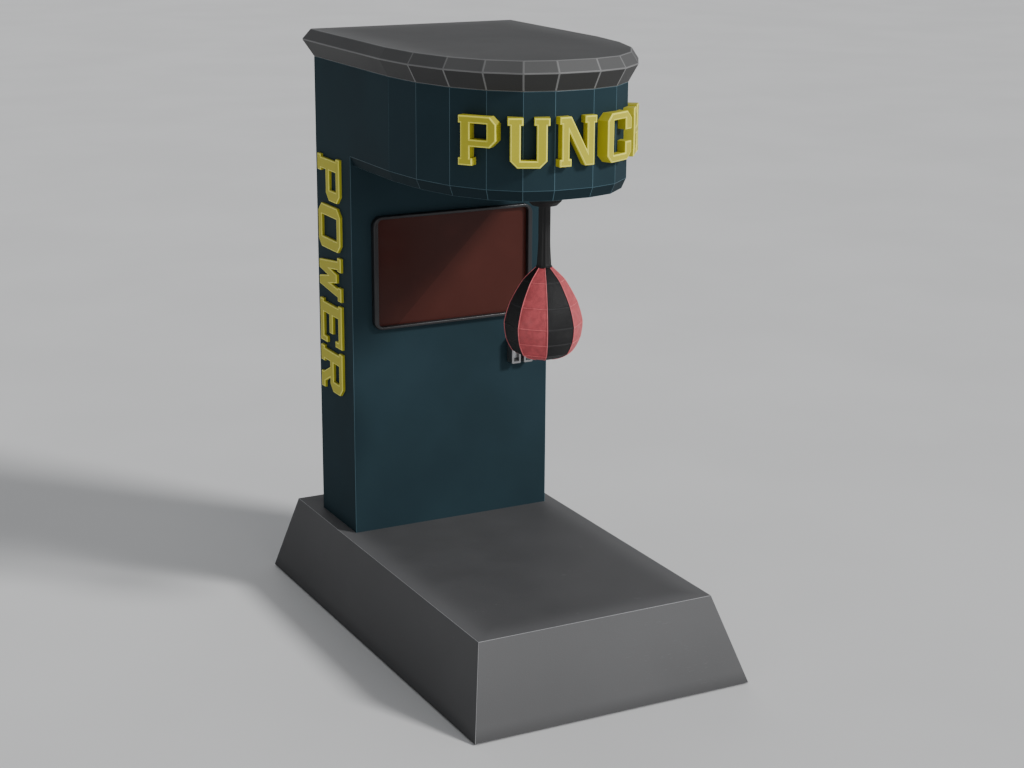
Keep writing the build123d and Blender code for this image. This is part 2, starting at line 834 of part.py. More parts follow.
segment_length = digit_width - 2 * segment_inset * segment_width
segment_half = segment_length / 2 + segment_width / 2 + segment_joint
with BuildPart() as digit_modules:
    with BuildSketch(front_facing(board_front)):
        with Locations(*[(x, screen_centre_height) for x in digit_xs]):
            RectangleRounded(digit_width, digit_height, digit_corner)
    extrude(amount=digit_depth)
    with BuildSketch(front_facing(digit_front)):
        for x in digit_xs:
            with Locations(*[(x, screen_centre_height + row * 2 * segment_half) for row in (-1, 0, 1)]):
                SlotOverall(segment_length, segment_width)
            with Locations(*[(x + side * segment_half, screen_centre_height + row * segment_half)
                             for side in (-1, 1) for row in (-1, 1)]):
                SlotOverall(segment_length, segment_width, rotation=90)
    extrude(amount=segment_depth)
save(digit_modules, "digit_modules")

# ---------------------------------------------------------------- coin entries
flap_y = coin_front + flap_set_back
flap_pin_z = return_high - flap_pin_radius - flap_gap
for x, suffix in zip(coin_xs, ("left", "right")):
    with BuildPart() as coin_entry:
        block(x - coin_width / 2, x + coin_width / 2, coin_front, column_front, coin_bottom,
              coin_bottom + coin_height)
        fillet(coin_entry.edges().filter_by(Axis.Y), coin_corner)
        chamfer(coin_entry.faces().sort_by(Axis.Y)[0].edges(), coin_chamfer)
        with BuildSketch(Plane.YZ.offset(x - return_width / 2)):
            patch((coin_front - 1, return_low), (flap_y, return_low + return_slope),
                  (column_front, return_low + return_slope), (column_front, return_high),
                  (coin_front - 1, return_high))
        extrude(amount=return_width, mode=Mode.SUBTRACT)
        with BuildSketch(front_facing(column_front)):
            with Locations((x + slot_x_offset, slot_centre_height)):
                SlotOverall(slot_height, slot_width, rotation=90)
            with Locations((x + button_x_offset, button_height)):
                Circle(button_radius + touch_gap)
        extrude(amount=coin_proud, mode=Mode.SUBTRACT)
    save(coin_entry, f"coin_entry_{suffix}")

    with BuildPart() as reject_button:
        rod(button_radius, (x + button_x_offset, coin_front - button_proud, button_height),
            (x + button_x_offset, coin_front - button_proud + button_length, button_height))
        fillet(reject_button.faces().sort_by(Axis.Y)[0].edges(), button_round)
    save(reject_button, f"reject_button_{suffix}")

    with BuildPart() as return_flap:
        half = return_width / 2 - flap_gap
        rod(flap_pin_radius, (x - half, flap_y, flap_pin_z), (x + half, flap_y, flap_pin_z))
        block(x - half, x + half, flap_y - flap_thickness / 2, flap_y + flap_thickness / 2,
              return_low + return_slope + flap_gap, flap_pin_z)
    save(return_flap, f"return_flap_{suffix}")

selector_bottom = coin_bottom - selector_drop
with BuildPart() as coin_selectors:
    for x in coin_xs:
        block(x - selector_width / 2, x + selector_width / 2, panel_back, panel_back + selector_depth,
              selector_bottom, selector_bottom + selector_height)
        block(x - return_width / 2, x + return_width / 2, panel_back, panel_back + selector_mouth_depth,
              return_low, return_high, mode=Mode.SUBTRACT)
        rod(button_radius + touch_gap, (x + button_x_offset, panel_back, button_height),
            (x + button_x_offset, panel_back + selector_button_depth, button_height), mode=Mode.SUBTRACT)
        block(x - selector_plug_width / 2, x + selector_plug_width / 2, panel_back + selector_depth,
              panel_back + selector_depth + selector_plug_depth, selector_bottom + selector_plug_low,
              selector_bottom + selector_plug_high)
save(coin_selectors, "coin_selectors")

with BuildPart() as coin_chute:
    block(coin_centre - chute_width / 2, coin_centre + chute_width / 2, panel_back,
          panel_back + chute_depth, chute_bottom, selector_bottom)
    block(coin_centre - chute_width / 2 + chute_wall, coin_centre + chute_width / 2 - chute_wall,
          panel_back + chute_wall, panel_back + chute_depth - chute_wall, chute_bottom, selector_bottom,
          mode=Mode.SUBTRACT)
save(coin_chute, "coin_chute")

box_bottom = cash_shelf_height + shelf_thickness
box_front = panel_back + box_front_gap
with BuildPart() as cash_box:
    box_right = post_x - post_size / 2 - box_side_gap
    block(box_right - box_width, box_right, box_front, box_front + box_depth, box_bottom,
          box_bottom + box_height)
    block(box_right - box_width + box_wall, box_right - box_wall, box_front + box_wall,
          box_front + box_depth - box_wall, box_bottom + box_wall, box_bottom + box_height,
          mode=Mode.SUBTRACT)
save(cash_box, "cash_box")

# ---------------------------------------------------------------- electronics on the upper shelf
shelf_top = upper_shelf_height + shelf_thickness
shelf_mid_y = (shelf_inner_y + shelf_rear_y) / 2
with BuildPart() as power_supply:
    with Locations((-supply_centre, shelf_mid_y, shelf_top + supply_height / 2)):
        Box(supply_width, supply_depth, supply_height)
    with BuildSketch(Plane.XY.offset(shelf_top + supply_height)):
        with Locations((-supply_centre, shelf_mid_y)):
            with GridLocations(supply_vent_pitch, supply_vent_pitch, 10, 5):
                Circle(supply_vent_radius)
    extrude(amount=-supply_vent_depth, mode=Mode.SUBTRACT)
save(power_supply, "power_supply")

board_z = shelf_top + controller_rise
with BuildPart() as controller_board:
    with Locations((0, shelf_mid_y, board_z + controller_thickness / 2)):
        Box(controller_width, controller_depth, controller_thickness)
    with BuildSketch(Plane.XY.offset(shelf_top)):
        with Locations((0, shelf_mid_y)):
            with GridLocations(controller_width - controller_margin, controller_depth - controller_margin, 2, 2):
                Circle(controller_stud_radius)
    extrude(amount=controller_rise)
    for across, behind, width, depth, height in controller_chips:
        with Locations((across * width_scale, shelf_mid_y + behind, board_z + controller_thickness + height / 2)):
            Box(width * width_scale, depth, height)
save(controller_board, "controller_board")

# ---------------------------------------------------------------- head shell
with BuildPart() as head_fascia:
    with BuildSketch(Plane.XY.offset(skirt_z)):
        patch(*head_outline)
        patch(*offset_outline(head_outline, -sheet), mode=Mode.SUBTRACT)
        bar(-column_width, side_start, column_width, column_rear, mode=Mode.SUBTRACT)
    extrude(amount=cap_z - skirt_z)
save(head_fascia, "head_fascia")

slot_half = collar_radius + slot_side_gap
speaker_places = [(side * speaker_spread, axle_y + speaker_set_back) for side in (-1, 1)]
with BuildPart() as soffit_panel:
    add(frustum(offset_outline(head_outline, -skirt_inset), soffit_z, head_outline, skirt_z))
    add(frustum(offset_outline(head_outline, -skirt_inset - sheet), soffit_z + sheet,
                offset_outline(head_outline, -sheet), skirt_z), mode=Mode.SUBTRACT)
    block(-column_width, column_width, column_front, column_rear + sheet, soffit_z - 1, skirt_z + 1,
          mode=Mode.SUBTRACT)
    with BuildSketch(Plane.XY.offset(soffit_z)):
        bar(-slot_half, axle_y - slot_front, slot_half, axle_y + slot_rear)
        with Locations(*speaker_places):
            with HexLocations(grille_pitch, grille_rows, grille_rows):
                Circle(grille_hole_radius)
    extrude(amount=sheet, mode=Mode.SUBTRACT)
save(soffit_panel, "soffit_panel")

with BuildPart() as slot_trim:
    with BuildSketch(Plane.XY.offset(soffit_z - trim_wrap)):
        bar(-slot_half - trim_lip, axle_y - slot_front - trim_lip, slot_half + trim_lip,
            axle_y + slot_rear + trim_lip)
        bar(-slot_half + trim_wrap, axle_y - slot_front + trim_wrap, slot_half - trim_wrap,
            axle_y + slot_rear - trim_wrap, mode=Mode.SUBTRACT)
    extrude(amount=sheet + 2 * trim_wrap)
    with BuildSketch(Plane.XY.offset(soffit_z)):
        bar(-slot_half - trim_lip - 1, axle_y - slot_front - trim_lip - 1, slot_half + trim_lip + 1,
            axle_y + slot_rear + trim_lip + 1)
        bar(-slot_half, axle_y - slot_front, slot_half, axle_y + slot_rear, mode=Mode.SUBTRACT)
    extrude(amount=sheet, mode=Mode.SUBTRACT)
save(slot_trim, "slot_trim")

with BuildPart() as speakers:
    with BuildSketch(Plane.XY.offset(soffit_z + sheet)):
        with Locations(*speaker_places):
            Circle(speaker_radius)
    extrude(amount=speaker_rim)
    for x, y in speaker_places:
        with BuildSketch(Plane.XY.offset(soffit_z + sheet + speaker_rim)):
            with Locations((x, y)):
                Circle(cone_radius)
        extrude(amount=cone_height, taper=cone_taper)
        rod(magnet_radius, (x, y, soffit_z + sheet + magnet_low), (x, y, soffit_z + sheet + magnet_high))
save(speakers, "speakers")

cap_ridge_z = cap_z + cap_ridge_height
ridge_outline = offset_outline(head_outline, cap_ridge_overhang)
crown_outline = offset_outline(head_outline, cap_top_overhang)
with BuildPart() as top_cap:
    add(frustum(head_outline, cap_z, ridge_outline, cap_ridge_z))
    add(frustum(ridge_outline, cap_ridge_z, crown_outline, total_height))
    add(frustum(offset_outline(head_outline, -cap_wall), cap_z,
                offset_outline(ridge_outline, -cap_wall), cap_ridge_z), mode=Mode.SUBTRACT)
    add(frustum(offset_outline(ridge_outline, -cap_wall), cap_ridge_z,
                offset_outline(crown_outline, -cap_wall), total_height - cap_wall), mode=Mode.SUBTRACT)
save(top_cap, "top_cap")

buffer_y = axle_y + buffer_set_back
with BuildPart() as buffer_pad:
    with BuildSketch(Plane.XY.offset(soffit_z - buffer_thickness)):
        with Locations((0, buffer_y)):
            RectangleRounded(buffer_width, buffer_depth, buffer_corner)
    extrude(amount=buffer_thickness)
    fillet(buffer_pad.faces().sort_by(Axis.Z)[0].edges(), buffer_round)
save(buffer_pad, "buffer_pad")

# ---------------------------------------------------------------- letters
def outline_point(arc):
    """The point of the fascia this far round from the middle, to the right."""
    side = math.copysign(1.0, arc)
    left = abs(arc)
    x0, y0 = 0.0, head_front
    for x1, y1 in half_outline:
        step = math.hypot(x1 - x0, y1 - y0)
        if left <= step:
            share = left / step
            return side * (x0 + share * (x1 - x0)), y0 + share * (y1 - y0)
        left -= step
        x0, y0 = x1, y1
    return side * x0, y0


front_gap = (front_word_span - len(front_word) * front_letter_width) / (len(front_word) - 1)
front_letter_low = (skirt_z + cap_z - front_letter_height) / 2
with BuildPart() as front_letters:
    for i, letter in enumerate(front_word):
        start = -front_word_span / 2 + i * (front_letter_width + front_gap)
        ax, ay = outline_point(start)
        bx, by = outline_point(start + front_letter_width)
        chord = Vector(bx - ax, by - ay, 0)
        outwards = Vector(chord.Y, -chord.X, 0).normalized()
        bulge = max((Vector(x, y, 0) - Vector(ax, ay, 0)).dot(outwards) for x, y in
                    [outline_point(start + k * front_letter_width / 8) for k in range(9)])
        corner = Vector(ax, ay, front_letter_low) + outwards * (bulge + letter_proud)
        corner += chord.normalized() * (chord.length - front_letter_width) / 2
        face_plane = Plane(origin=corner, x_dir=chord, z_dir=outwards)
        with BuildPart(mode=Mode.PRIVATE) as one_letter:
            with BuildSketch(face_plane):
                letter(front_letter_width, front_letter_height)
            extrude(amount=-(letter_proud + bulge + sheet))
            front_face = one_letter.faces().sort_by(Axis(corner, outwards))[-1]
            chamfer(front_face.edges(), front_letter_bevel)
            with BuildSketch(Plane.XY.offset(skirt_z)):
                patch(*head_outline)
            extrude(amount=cap_z - skirt_z, mode=Mode.SUBTRACT)
        add(one_letter.part)
save(front_letters, "front_letters")

side_gap = (side_word_span - len(side_word) * side_letter_width) / (len(side_word) - 1)
letter_tops = column_front + side_letter_inset
letter_feet = letter_tops + side_letter_height
with BuildPart() as side_letters:
    for side in (-1, 1):
        for i, letter in enumerate(side_word):
            along = i * (side_letter_width + side_gap)
            corner_z = side_letter_top - along if side < 0 else side_letter_top - side_word_span + along
            with BuildSketch(Plane(origin=(side * column_half, letter_feet, corner_z),
                                   x_dir=(0, 0, side), z_dir=(side, 0, 0))):
                letter(side_letter_width, side_letter_height)
        extrude(amount=side_letter_proud)
    by_side = side_letters.faces().filter_by(Axis.X).sort_by(Axis.X)
    outer_faces = by_side[:len(side_word)] + by_side[-len(side_word):]
    chamfer(outer_faces.edges(), side_letter_bevel)
save(side_letters, "side_letters")

# ---------------------------------------------------------------- axle cradle
beam_bottom = cross_rail_top
beam_top = beam_bottom + beam_height
beam_front = axle_y - beam_reach
beam_rear = post_rear_y + post_size / 2
cheek_inner = beam_inner_face - cheek_thickness
latch_y = axle_y - latch_offset
latch_z = axle_z + catch_width / 2 + latch_radius + latch_gap
with BuildPart() as head_frame:
    for side in (-1, 1):
        inner = side * beam_inner_face
        outer = side * (beam_inner_face + beam_width)
        tube(min(inner, outer), max(inner, outer), beam_front, beam_rear, beam_bottom, beam_top, post_wall, "Y")
        block(side * cheek_inner, inner, axle_y - cheek_half_length, axle_y + cheek_half_length,
              axle_z - cheek_drop, beam_top)
    tube(-nose_bar_half, nose_bar_half, beam_front - nose_bar_size, beam_front, beam_bottom,
         beam_bottom + nose_bar_size, post_wall, "X")
    rod(bush_radius, (-beam_inner_face, axle_y, axle_z), (beam_inner_face, axle_y, axle_z),
        mode=Mode.SUBTRACT)
    rod(latch_radius + guide_gap, (cheek_inner, latch_y, latch_z), (beam_inner_face, latch_y, latch_z),
        mode=Mode.SUBTRACT)
save(head_frame, "head_frame")

with BuildPart() as axle_bushes:
    for side in (-1, 1):
        rod(bush_radius, (side * cheek_inner, axle_y, axle_z),
            (side * (beam_inner_face + bush_tail), axle_y, axle_z))
        rod(bush_flange_radius, (side * (cheek_inner - bush_flange_thickness), axle_y, axle_z),
            (side * cheek_inner, axle_y, axle_z))
    rod(axle_radius + running_fit, (-axle_half_length, axle_y, axle_z), (axle_half_length, axle_y, axle_z),
        mode=Mode.SUBTRACT)
save(axle_bushes, "axle_bushes")

with BuildPart() as pivot_axle:
    rod(axle_radius, (-axle_half_length, axle_y, axle_z), (axle_half_length, axle_y, axle_z))
    chamfer(pivot_axle.faces().filter_by(Axis.X).edges(), axle_chamfer)
save(pivot_axle, "pivot_axle")

with BuildPart() as axle_rings:
    for side in (-1, 1):
        start = side * (beam_inner_face + bush_tail + ring_gap)
        rod(ring_radius, (start, axle_y, axle_z), (start + side * ring_thickness, axle_y, axle_z))
    rod(axle_radius, (-axle_half_length, axle_y, axle_z), (axle_half_length, axle_y, axle_z),
        mode=Mode.SUBTRACT)
save(axle_rings, "axle_rings")

# ---------------------------------------------------------------- swing arm
arm_top = axle_z - hub_radius + arm_socket
bag_top = axle_z - bag_drop
arm_bottom = bag_top - arm_reach_in_bag
with BuildPart() as arm_hub:
    rod(hub_radius, (-hub_half_length, axle_y, axle_z), (hub_half_length, axle_y, axle_z))
    rod(hub_boss_radius, (0, axle_y, axle_z), (0, axle_y, axle_z - hub_boss_reach))
    rod(axle_radius, (-hub_half_length, axle_y, axle_z), (hub_half_length, axle_y, axle_z),
        mode=Mode.SUBTRACT)
    rod(arm_radius, (0, axle_y, axle_z - hub_boss_reach), (0, axle_y, arm_top), mode=Mode.SUBTRACT)
save(arm_hub, "arm_hub")

with BuildPart() as swing_arm:
    rod(arm_radius, (0, axle_y, arm_bottom), (0, axle_y, arm_top))
    rod(arm_radius - arm_wall, (0, axle_y, arm_bottom), (0, axle_y, arm_top), mode=Mode.SUBTRACT)
save(swing_arm, "swing_arm")

collar_top = soffit_z - collar_drop
collar_low = collar_top - collar_height
with BuildPart() as arm_collar:
    with BuildSketch(Plane.XZ.offset(-axle_y)):
        patch((arm_radius, collar_low), (collar_tip_radius, collar_low),
              (collar_radius, collar_low + collar_shoulder), (collar_radius, collar_top),
              (arm_radius, collar_top))
    revolve(axis=Axis((0, axle_y, 0), (0, 0, 1)))
save(arm_collar, "arm_collar")

with BuildPart() as arm_sleeve:
    with BuildSketch(Plane.XZ.offset(-axle_y)):
        patch((arm_radius, bag_top), (sleeve_flare_radius, bag_top),
              (sleeve_radius, bag_top + sleeve_flare_length), (sleeve_radius, collar_low),
              (arm_radius, collar_low))
    revolve(axis=Axis((0, axle_y, 0), (0, 0, 1)))
save(arm_sleeve, "arm_sleeve")

bag_bottom = bag_top - bag_height
with BuildPart() as punch_bag:
    with BuildSketch(Plane.XZ.offset(-axle_y)):
        with BuildLine():
            neck = (sleeve_flare_radius, bag_top)
            Polyline((0, bag_bottom), (0, arm_bottom), (arm_radius, arm_bottom), (arm_radius, bag_top), neck)
            Spline(neck, *[(x * bag_radius, bag_top - y * bag_height) for x, y in bag_section],
                   (0, bag_bottom), tangents=((0.75, -0.66), (-1, 0)))
        make_face()
    revolve(axis=Axis((0, axle_y, 0), (0, 0, 1)))
save(punch_bag, "punch_bag")

# ---------------------------------------------------------------- latch and speed sensor
catch_plane = Plane(origin=(hub_half_length, axle_y, axle_z), x_dir=(0, 1, 0), z_dir=(1, 0, 0))
with BuildPart() as catch_lever:
    with BuildSketch(catch_plane):
        Circle(hub_radius - catch_eye_inset)
        angle = math.radians(catch_angle)
        with Locations(Location((catch_length / 2 * math.cos(angle), catch_length / 2 * math.sin(angle)),
                                catch_angle)):
            Rectangle(catch_length, catch_width)
        Circle(axle_radius, mode=Mode.SUBTRACT)
    extrude(amount=catch_thickness)
save(catch_lever, "catch_lever")

solenoid_end = beam_inner_face + solenoid_length
latch_tip = hub_half_length + catch_thickness + latch_slack
latch_tail = solenoid_end + latch_travel + latch_tail_gap
with BuildPart() as solenoid:
    half = solenoid_size / 2
    block(beam_inner_face, solenoid_end, latch_y - half, latch_y + half, latch_z - half, latch_z + half)
    fillet(solenoid.edges().filter_by(Axis.X), solenoid_round)
    rod(latch_radius + guide_gap, (beam_inner_face, latch_y, latch_z), (solenoid_end, latch_y, latch_z),
        mode=Mode.SUBTRACT)
save(solenoid, "solenoid")

with BuildPart() as latch_bolt:
    rod(latch_radius, (latch_tip, latch_y, latch_z), (latch_tail, latch_y, latch_z))
    chamfer(latch_bolt.faces().sort_by(Axis.X)[0].edges(), latch_tip_chamfer)
    rod(latch_head_radius, (latch_tail, latch_y, latch_z),
        (latch_tail + latch_head_thickness, latch_y, latch_z))
save(latch_bolt, "latch_bolt")

spring_radius = latch_head_radius - spring_wire - spring_gap
spring_length = latch_tail - solenoid_end - 2 * spring_wire
with BuildPart() as latch_spring:
    with BuildLine():
        coil = Helix(spring_length / spring_turns, spring_length, spring_radius,
                     center=(solenoid_end + spring_wire, latch_y, latch_z), direction=(1, 0, 0))
    with BuildSketch(Plane(origin=coil @ 0, z_dir=coil % 0)):
        Circle(spring_wire)
    sweep(is_frenet=True)
save(latch_spring, "latch_spring")

disc_face = disc_offset + disc_thickness
with BuildPart() as encoder_disc:
    rod(disc_hub_radius, (-hub_half_length, axle_y, axle_z), (-disc_face, axle_y, axle_z))
    rod(disc_radius, (-disc_offset, axle_y, axle_z), (-disc_face, axle_y, axle_z))
    rod(axle_radius, (-hub_half_length, axle_y, axle_z), (-disc_face, axle_y, axle_z), mode=Mode.SUBTRACT)
    with BuildSketch(Plane(origin=(-disc_face, axle_y, axle_z), x_dir=(0, 1, 0), z_dir=(1, 0, 0))):
        with PolarLocations(disc_radius - disc_slot_inset, disc_slots):
            Rectangle(disc_slot_length, disc_slot_width)
    extrude(amount=disc_thickness, mode=Mode.SUBTRACT)
save(encoder_disc, "encoder_disc")

sensor_low = axle_z + disc_radius - sensor_depth
with BuildPart() as speed_sensor:
    block(-cheek_inner, -disc_offset + sensor_arm, axle_y - sensor_width / 2, axle_y + sensor_width / 2,
          sensor_low, axle_z + disc_radius + sensor_crown)
    block(-disc_face - sensor_gap, -disc_offset + sensor_gap, axle_y - sensor_width, axle_y + sensor_width,
          sensor_low - 1, axle_z + disc_radius + sensor_gap, mode=Mode.SUBTRACT)
save(speed_sensor, "speed_sensor")

# ---------------------------------------------------------------- rear door
door_half = side_inner - flange_width + sheet - panel_gap
door_inner_y = rear_panel_outer + touch_gap
door_outer_y = door_inner_y + sheet
hinge_x = door_half + panel_gap / 2
hinge_y = door_outer_y + hinge_axis_rise
hinge_zs = [door_bottom + hinge_inset, (door_bottom + door_top) / 2, door_top - hinge_inset]
lock_x = -door_half + lock_inset
lock_z = (door_bottom + door_top) / 2
lock_face_y = door_outer_y + lock_face_thickness
knuckle = hinge_length / knuckle_count

with BuildPart() as rear_door:
    block(-door_half, door_half, door_inner_y, door_outer_y, door_bottom + panel_gap, door_top)
    tube(-stiffener_width / 2, stiffener_width / 2, door_inner_y - stiffener_depth, door_inner_y,
         door_bottom + stiffener_inset, door_top - stiffener_inset, stiffener_wall, "Z")
    rod(lock_radius, (lock_x, door_inner_y, lock_z), (lock_x, door_outer_y, lock_z), mode=Mode.SUBTRACT)
save(rear_door, "rear_door")


def hinge_leaves(side, leaf_y, ks):
    """One leaf of every hinge: side +1 is the cabinet's, -1 the door's; ks are its knuckles."""
    reach = hinge_knuckle_radius + knuckle_clearance
    for z in hinge_zs:
        low = z - hinge_length / 2
        block(hinge_x + side * reach, hinge_x + side * hinge_leaf_width, leaf_y, leaf_y + hinge_leaf,
              low, low + hinge_length)
        for k in ks:
            start = low + k * knuckle + touch_gap / 2
            end = low + (k + 1) * knuckle - touch_gap / 2
            block(hinge_x, hinge_x + side * (reach + knuckle_root), leaf_y, leaf_y + hinge_leaf, start, end)
            rod(hinge_knuckle_radius, (hinge_x, hinge_y, start), (hinge_x, hinge_y, end))


with BuildPart() as hinge_cabinet_leaves:
    hinge_leaves(1, column_rear, (0, 2, 4))
    for z in hinge_zs:
        half = hinge_length / 2
        rod(hinge_pin_radius, (hinge_x, hinge_y, z - half), (hinge_x, hinge_y, z + half))
        rod(hinge_knuckle_radius, (hinge_x, hinge_y, z + half), (hinge_x, hinge_y, z + half + pin_head_height))
save(hinge_cabinet_leaves, "hinge_cabinet_leaves")

with BuildPart() as hinge_door_leaves:
    hinge_leaves(-1, door_outer_y, (1, 3))
    for z in hinge_zs:
        half = hinge_length / 2
        rod(hinge_pin_radius + running_fit, (hinge_x, hinge_y, z - half), (hinge_x, hinge_y, z + half),
            mode=Mode.SUBTRACT)
save(hinge_door_leaves, "hinge_door_leaves")

with BuildPart() as lock_housing:
    rod(lock_face_radius, (lock_x, door_outer_y, lock_z), (lock_x, lock_face_y, lock_z))
    rod(lock_radius, (lock_x, door_inner_y, lock_z), (lock_x, door_outer_y, lock_z))
    rod(lock_radius - lock_wall, (lock_x, door_inner_y, lock_z), (lock_x, lock_face_y, lock_z),
        mode=Mode.SUBTRACT)
save(lock_housing, "lock_housing")

cam_rear = door_inner_y - cam_set_back
with BuildPart() as lock_barrel:
    inner_radius = lock_radius - lock_wall - running_fit
    barrel_face = lock_face_y + barrel_proud
    rod(inner_radius, (lock_x, cam_rear, lock_z), (lock_x, barrel_face, lock_z))
    block(lock_x - key_slot_half_width, lock_x + key_slot_half_width, barrel_face - key_slot_depth,
          barrel_face, lock_z - key_slot_half_height, lock_z + key_slot_half_height, mode=Mode.SUBTRACT)
save(lock_barrel, "lock_barrel")

with BuildPart() as lock_cam:
    with BuildSketch(front_facing(cam_rear)):
        with Locations((lock_x, lock_z - cam_length / 2 + cam_width / 2)):
            SlotOverall(cam_length, cam_width, rotation=90)
    extrude(amount=cam_thickness)
save(lock_cam, "lock_cam")

# ---------------------------------------------------------------- mains inlet
inlet_face_y = rear_panel_outer + sheet
socket_x = inlet_x + socket_offset
rocker_x = inlet_x + rocker_offset
rocker_y = inlet_face_y - rocker_sink
with BuildPart() as mains_inlet:
    block(inlet_x - inlet_body_width / 2, inlet_x + inlet_body_width / 2, inlet_face_y - inlet_depth,
          inlet_face_y, inlet_height - inlet_body_height / 2, inlet_height + inlet_body_height / 2)
    block(inlet_x - inlet_face_width / 2, inlet_x + inlet_face_width / 2, rear_panel_outer, inlet_face_y,
          inlet_height - inlet_face_height / 2, inlet_height + inlet_face_height / 2)
    block(socket_x - socket_width / 2, socket_x + socket_width / 2, inlet_face_y - socket_depth,
          inlet_face_y, inlet_height - socket_height / 2, inlet_height + socket_height / 2,
          mode=Mode.SUBTRACT)
    for across, up in pin_places:
        x = socket_x + across
        z = inlet_height + up
        block(x - pin_half_width, x + pin_half_width, inlet_face_y - socket_depth,
              inlet_face_y - socket_depth + pin_length, z - pin_half_height, z + pin_half_height)
    pocket = rocker_radius + rocker_gap
    block(rocker_x - rocker_width / 2 - rocker_gap, rocker_x + rocker_width / 2 + rocker_gap,
          rocker_y - pocket, inlet_face_y, inlet_height - pocket, inlet_height + pocket,
          mode=Mode.SUBTRACT)
save(mains_inlet, "mains_inlet")

with BuildPart() as rocker_switch:
    rod(rocker_radius, (rocker_x - rocker_width / 2, rocker_y, inlet_height),
        (rocker_x + rocker_width / 2, rocker_y, inlet_height))
    with BuildSketch(Plane.YZ.offset(rocker_x - rocker_width / 2)):
        patch((rocker_y + rocker_hollow, inlet_height), (rocker_y + rocker_radius + 1, inlet_height - rocker_radius),
              (rocker_y + rocker_radius + 1, inlet_height + rocker_radius))
    extrude(amount=rocker_width, mode=Mode.SUBTRACT)
save(rocker_switch, "rocker_switch")
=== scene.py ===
# %% [markdown]
# # A boxing punch machine
# The machine is a bag on a swing arm under a bonnet head, carried by a column on a heavy sloping base.
# The engineering model is loaded first as a fixed frame. Everything made below is placed from its boxes,
# so nothing has to be fitted by eye.

# %% Load the frame
import json
import math

import bmesh
import bpy
import numpy as np
from mathutils import Matrix, Vector


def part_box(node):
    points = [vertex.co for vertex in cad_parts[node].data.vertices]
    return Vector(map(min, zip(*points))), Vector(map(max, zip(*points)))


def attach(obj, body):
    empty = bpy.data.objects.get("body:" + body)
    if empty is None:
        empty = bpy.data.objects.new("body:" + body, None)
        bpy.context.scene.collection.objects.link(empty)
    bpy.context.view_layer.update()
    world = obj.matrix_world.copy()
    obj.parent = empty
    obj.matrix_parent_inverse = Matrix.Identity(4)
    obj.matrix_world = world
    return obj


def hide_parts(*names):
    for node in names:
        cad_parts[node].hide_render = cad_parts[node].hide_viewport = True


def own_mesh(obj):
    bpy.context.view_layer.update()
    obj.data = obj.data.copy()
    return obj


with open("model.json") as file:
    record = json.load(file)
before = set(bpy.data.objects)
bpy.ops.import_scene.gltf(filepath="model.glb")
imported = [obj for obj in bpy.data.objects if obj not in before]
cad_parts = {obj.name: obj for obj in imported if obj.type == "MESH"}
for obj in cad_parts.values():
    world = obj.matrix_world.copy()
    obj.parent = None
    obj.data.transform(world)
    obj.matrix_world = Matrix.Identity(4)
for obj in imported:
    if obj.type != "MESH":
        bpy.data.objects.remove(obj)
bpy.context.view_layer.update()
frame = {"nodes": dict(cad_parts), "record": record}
nodes = frame["nodes"]
slot_of = {row["node"]: row["material_slot"] for row in frame["record"]["subparts"]}
body_of = {node: body for body, names in frame["record"]["behaviour"]["bodies"].items() for node in names}

# %% [markdown]
# ## Shader sums written as Python
# A material is a small calculation over the surface. A class that wraps a socket and overloads the
# arithmetic operators lets each finish be read as a formula, and keeps the node wiring out of sight.

# %% Sockets that can be added and multiplied
class Expr:
    """A shader socket; each operator on it adds a Math node."""

    def __init__(self, finish, socket):
        self.finish = finish
        self.socket = socket

    def math(self, operation, other=0.0, swapped=False):
        pair = (other, self) if swapped else (self, other)
        return self.finish.node("ShaderNodeMath", {"operation": operation}, {0: pair[0], 1: pair[1]})

    def __add__(self, other):
        return self.math("ADD", other)

    __radd__ = __add__

    def __mul__(self, other):
        return self.math("MULTIPLY", other)

    __rmul__ = __mul__

    def __sub__(self, other):
        return self.math("SUBTRACT", other)

    def __rsub__(self, other):
        return self.math("SUBTRACT", other, swapped=True)

    def step(self, low, high):
        """0 below low, 1 above high, smooth between."""
        return self.finish.node("ShaderNodeMapRange", {"interpolation_type": "SMOOTHSTEP"},
                                {"Value": self, "From Min": low, "From Max": high})


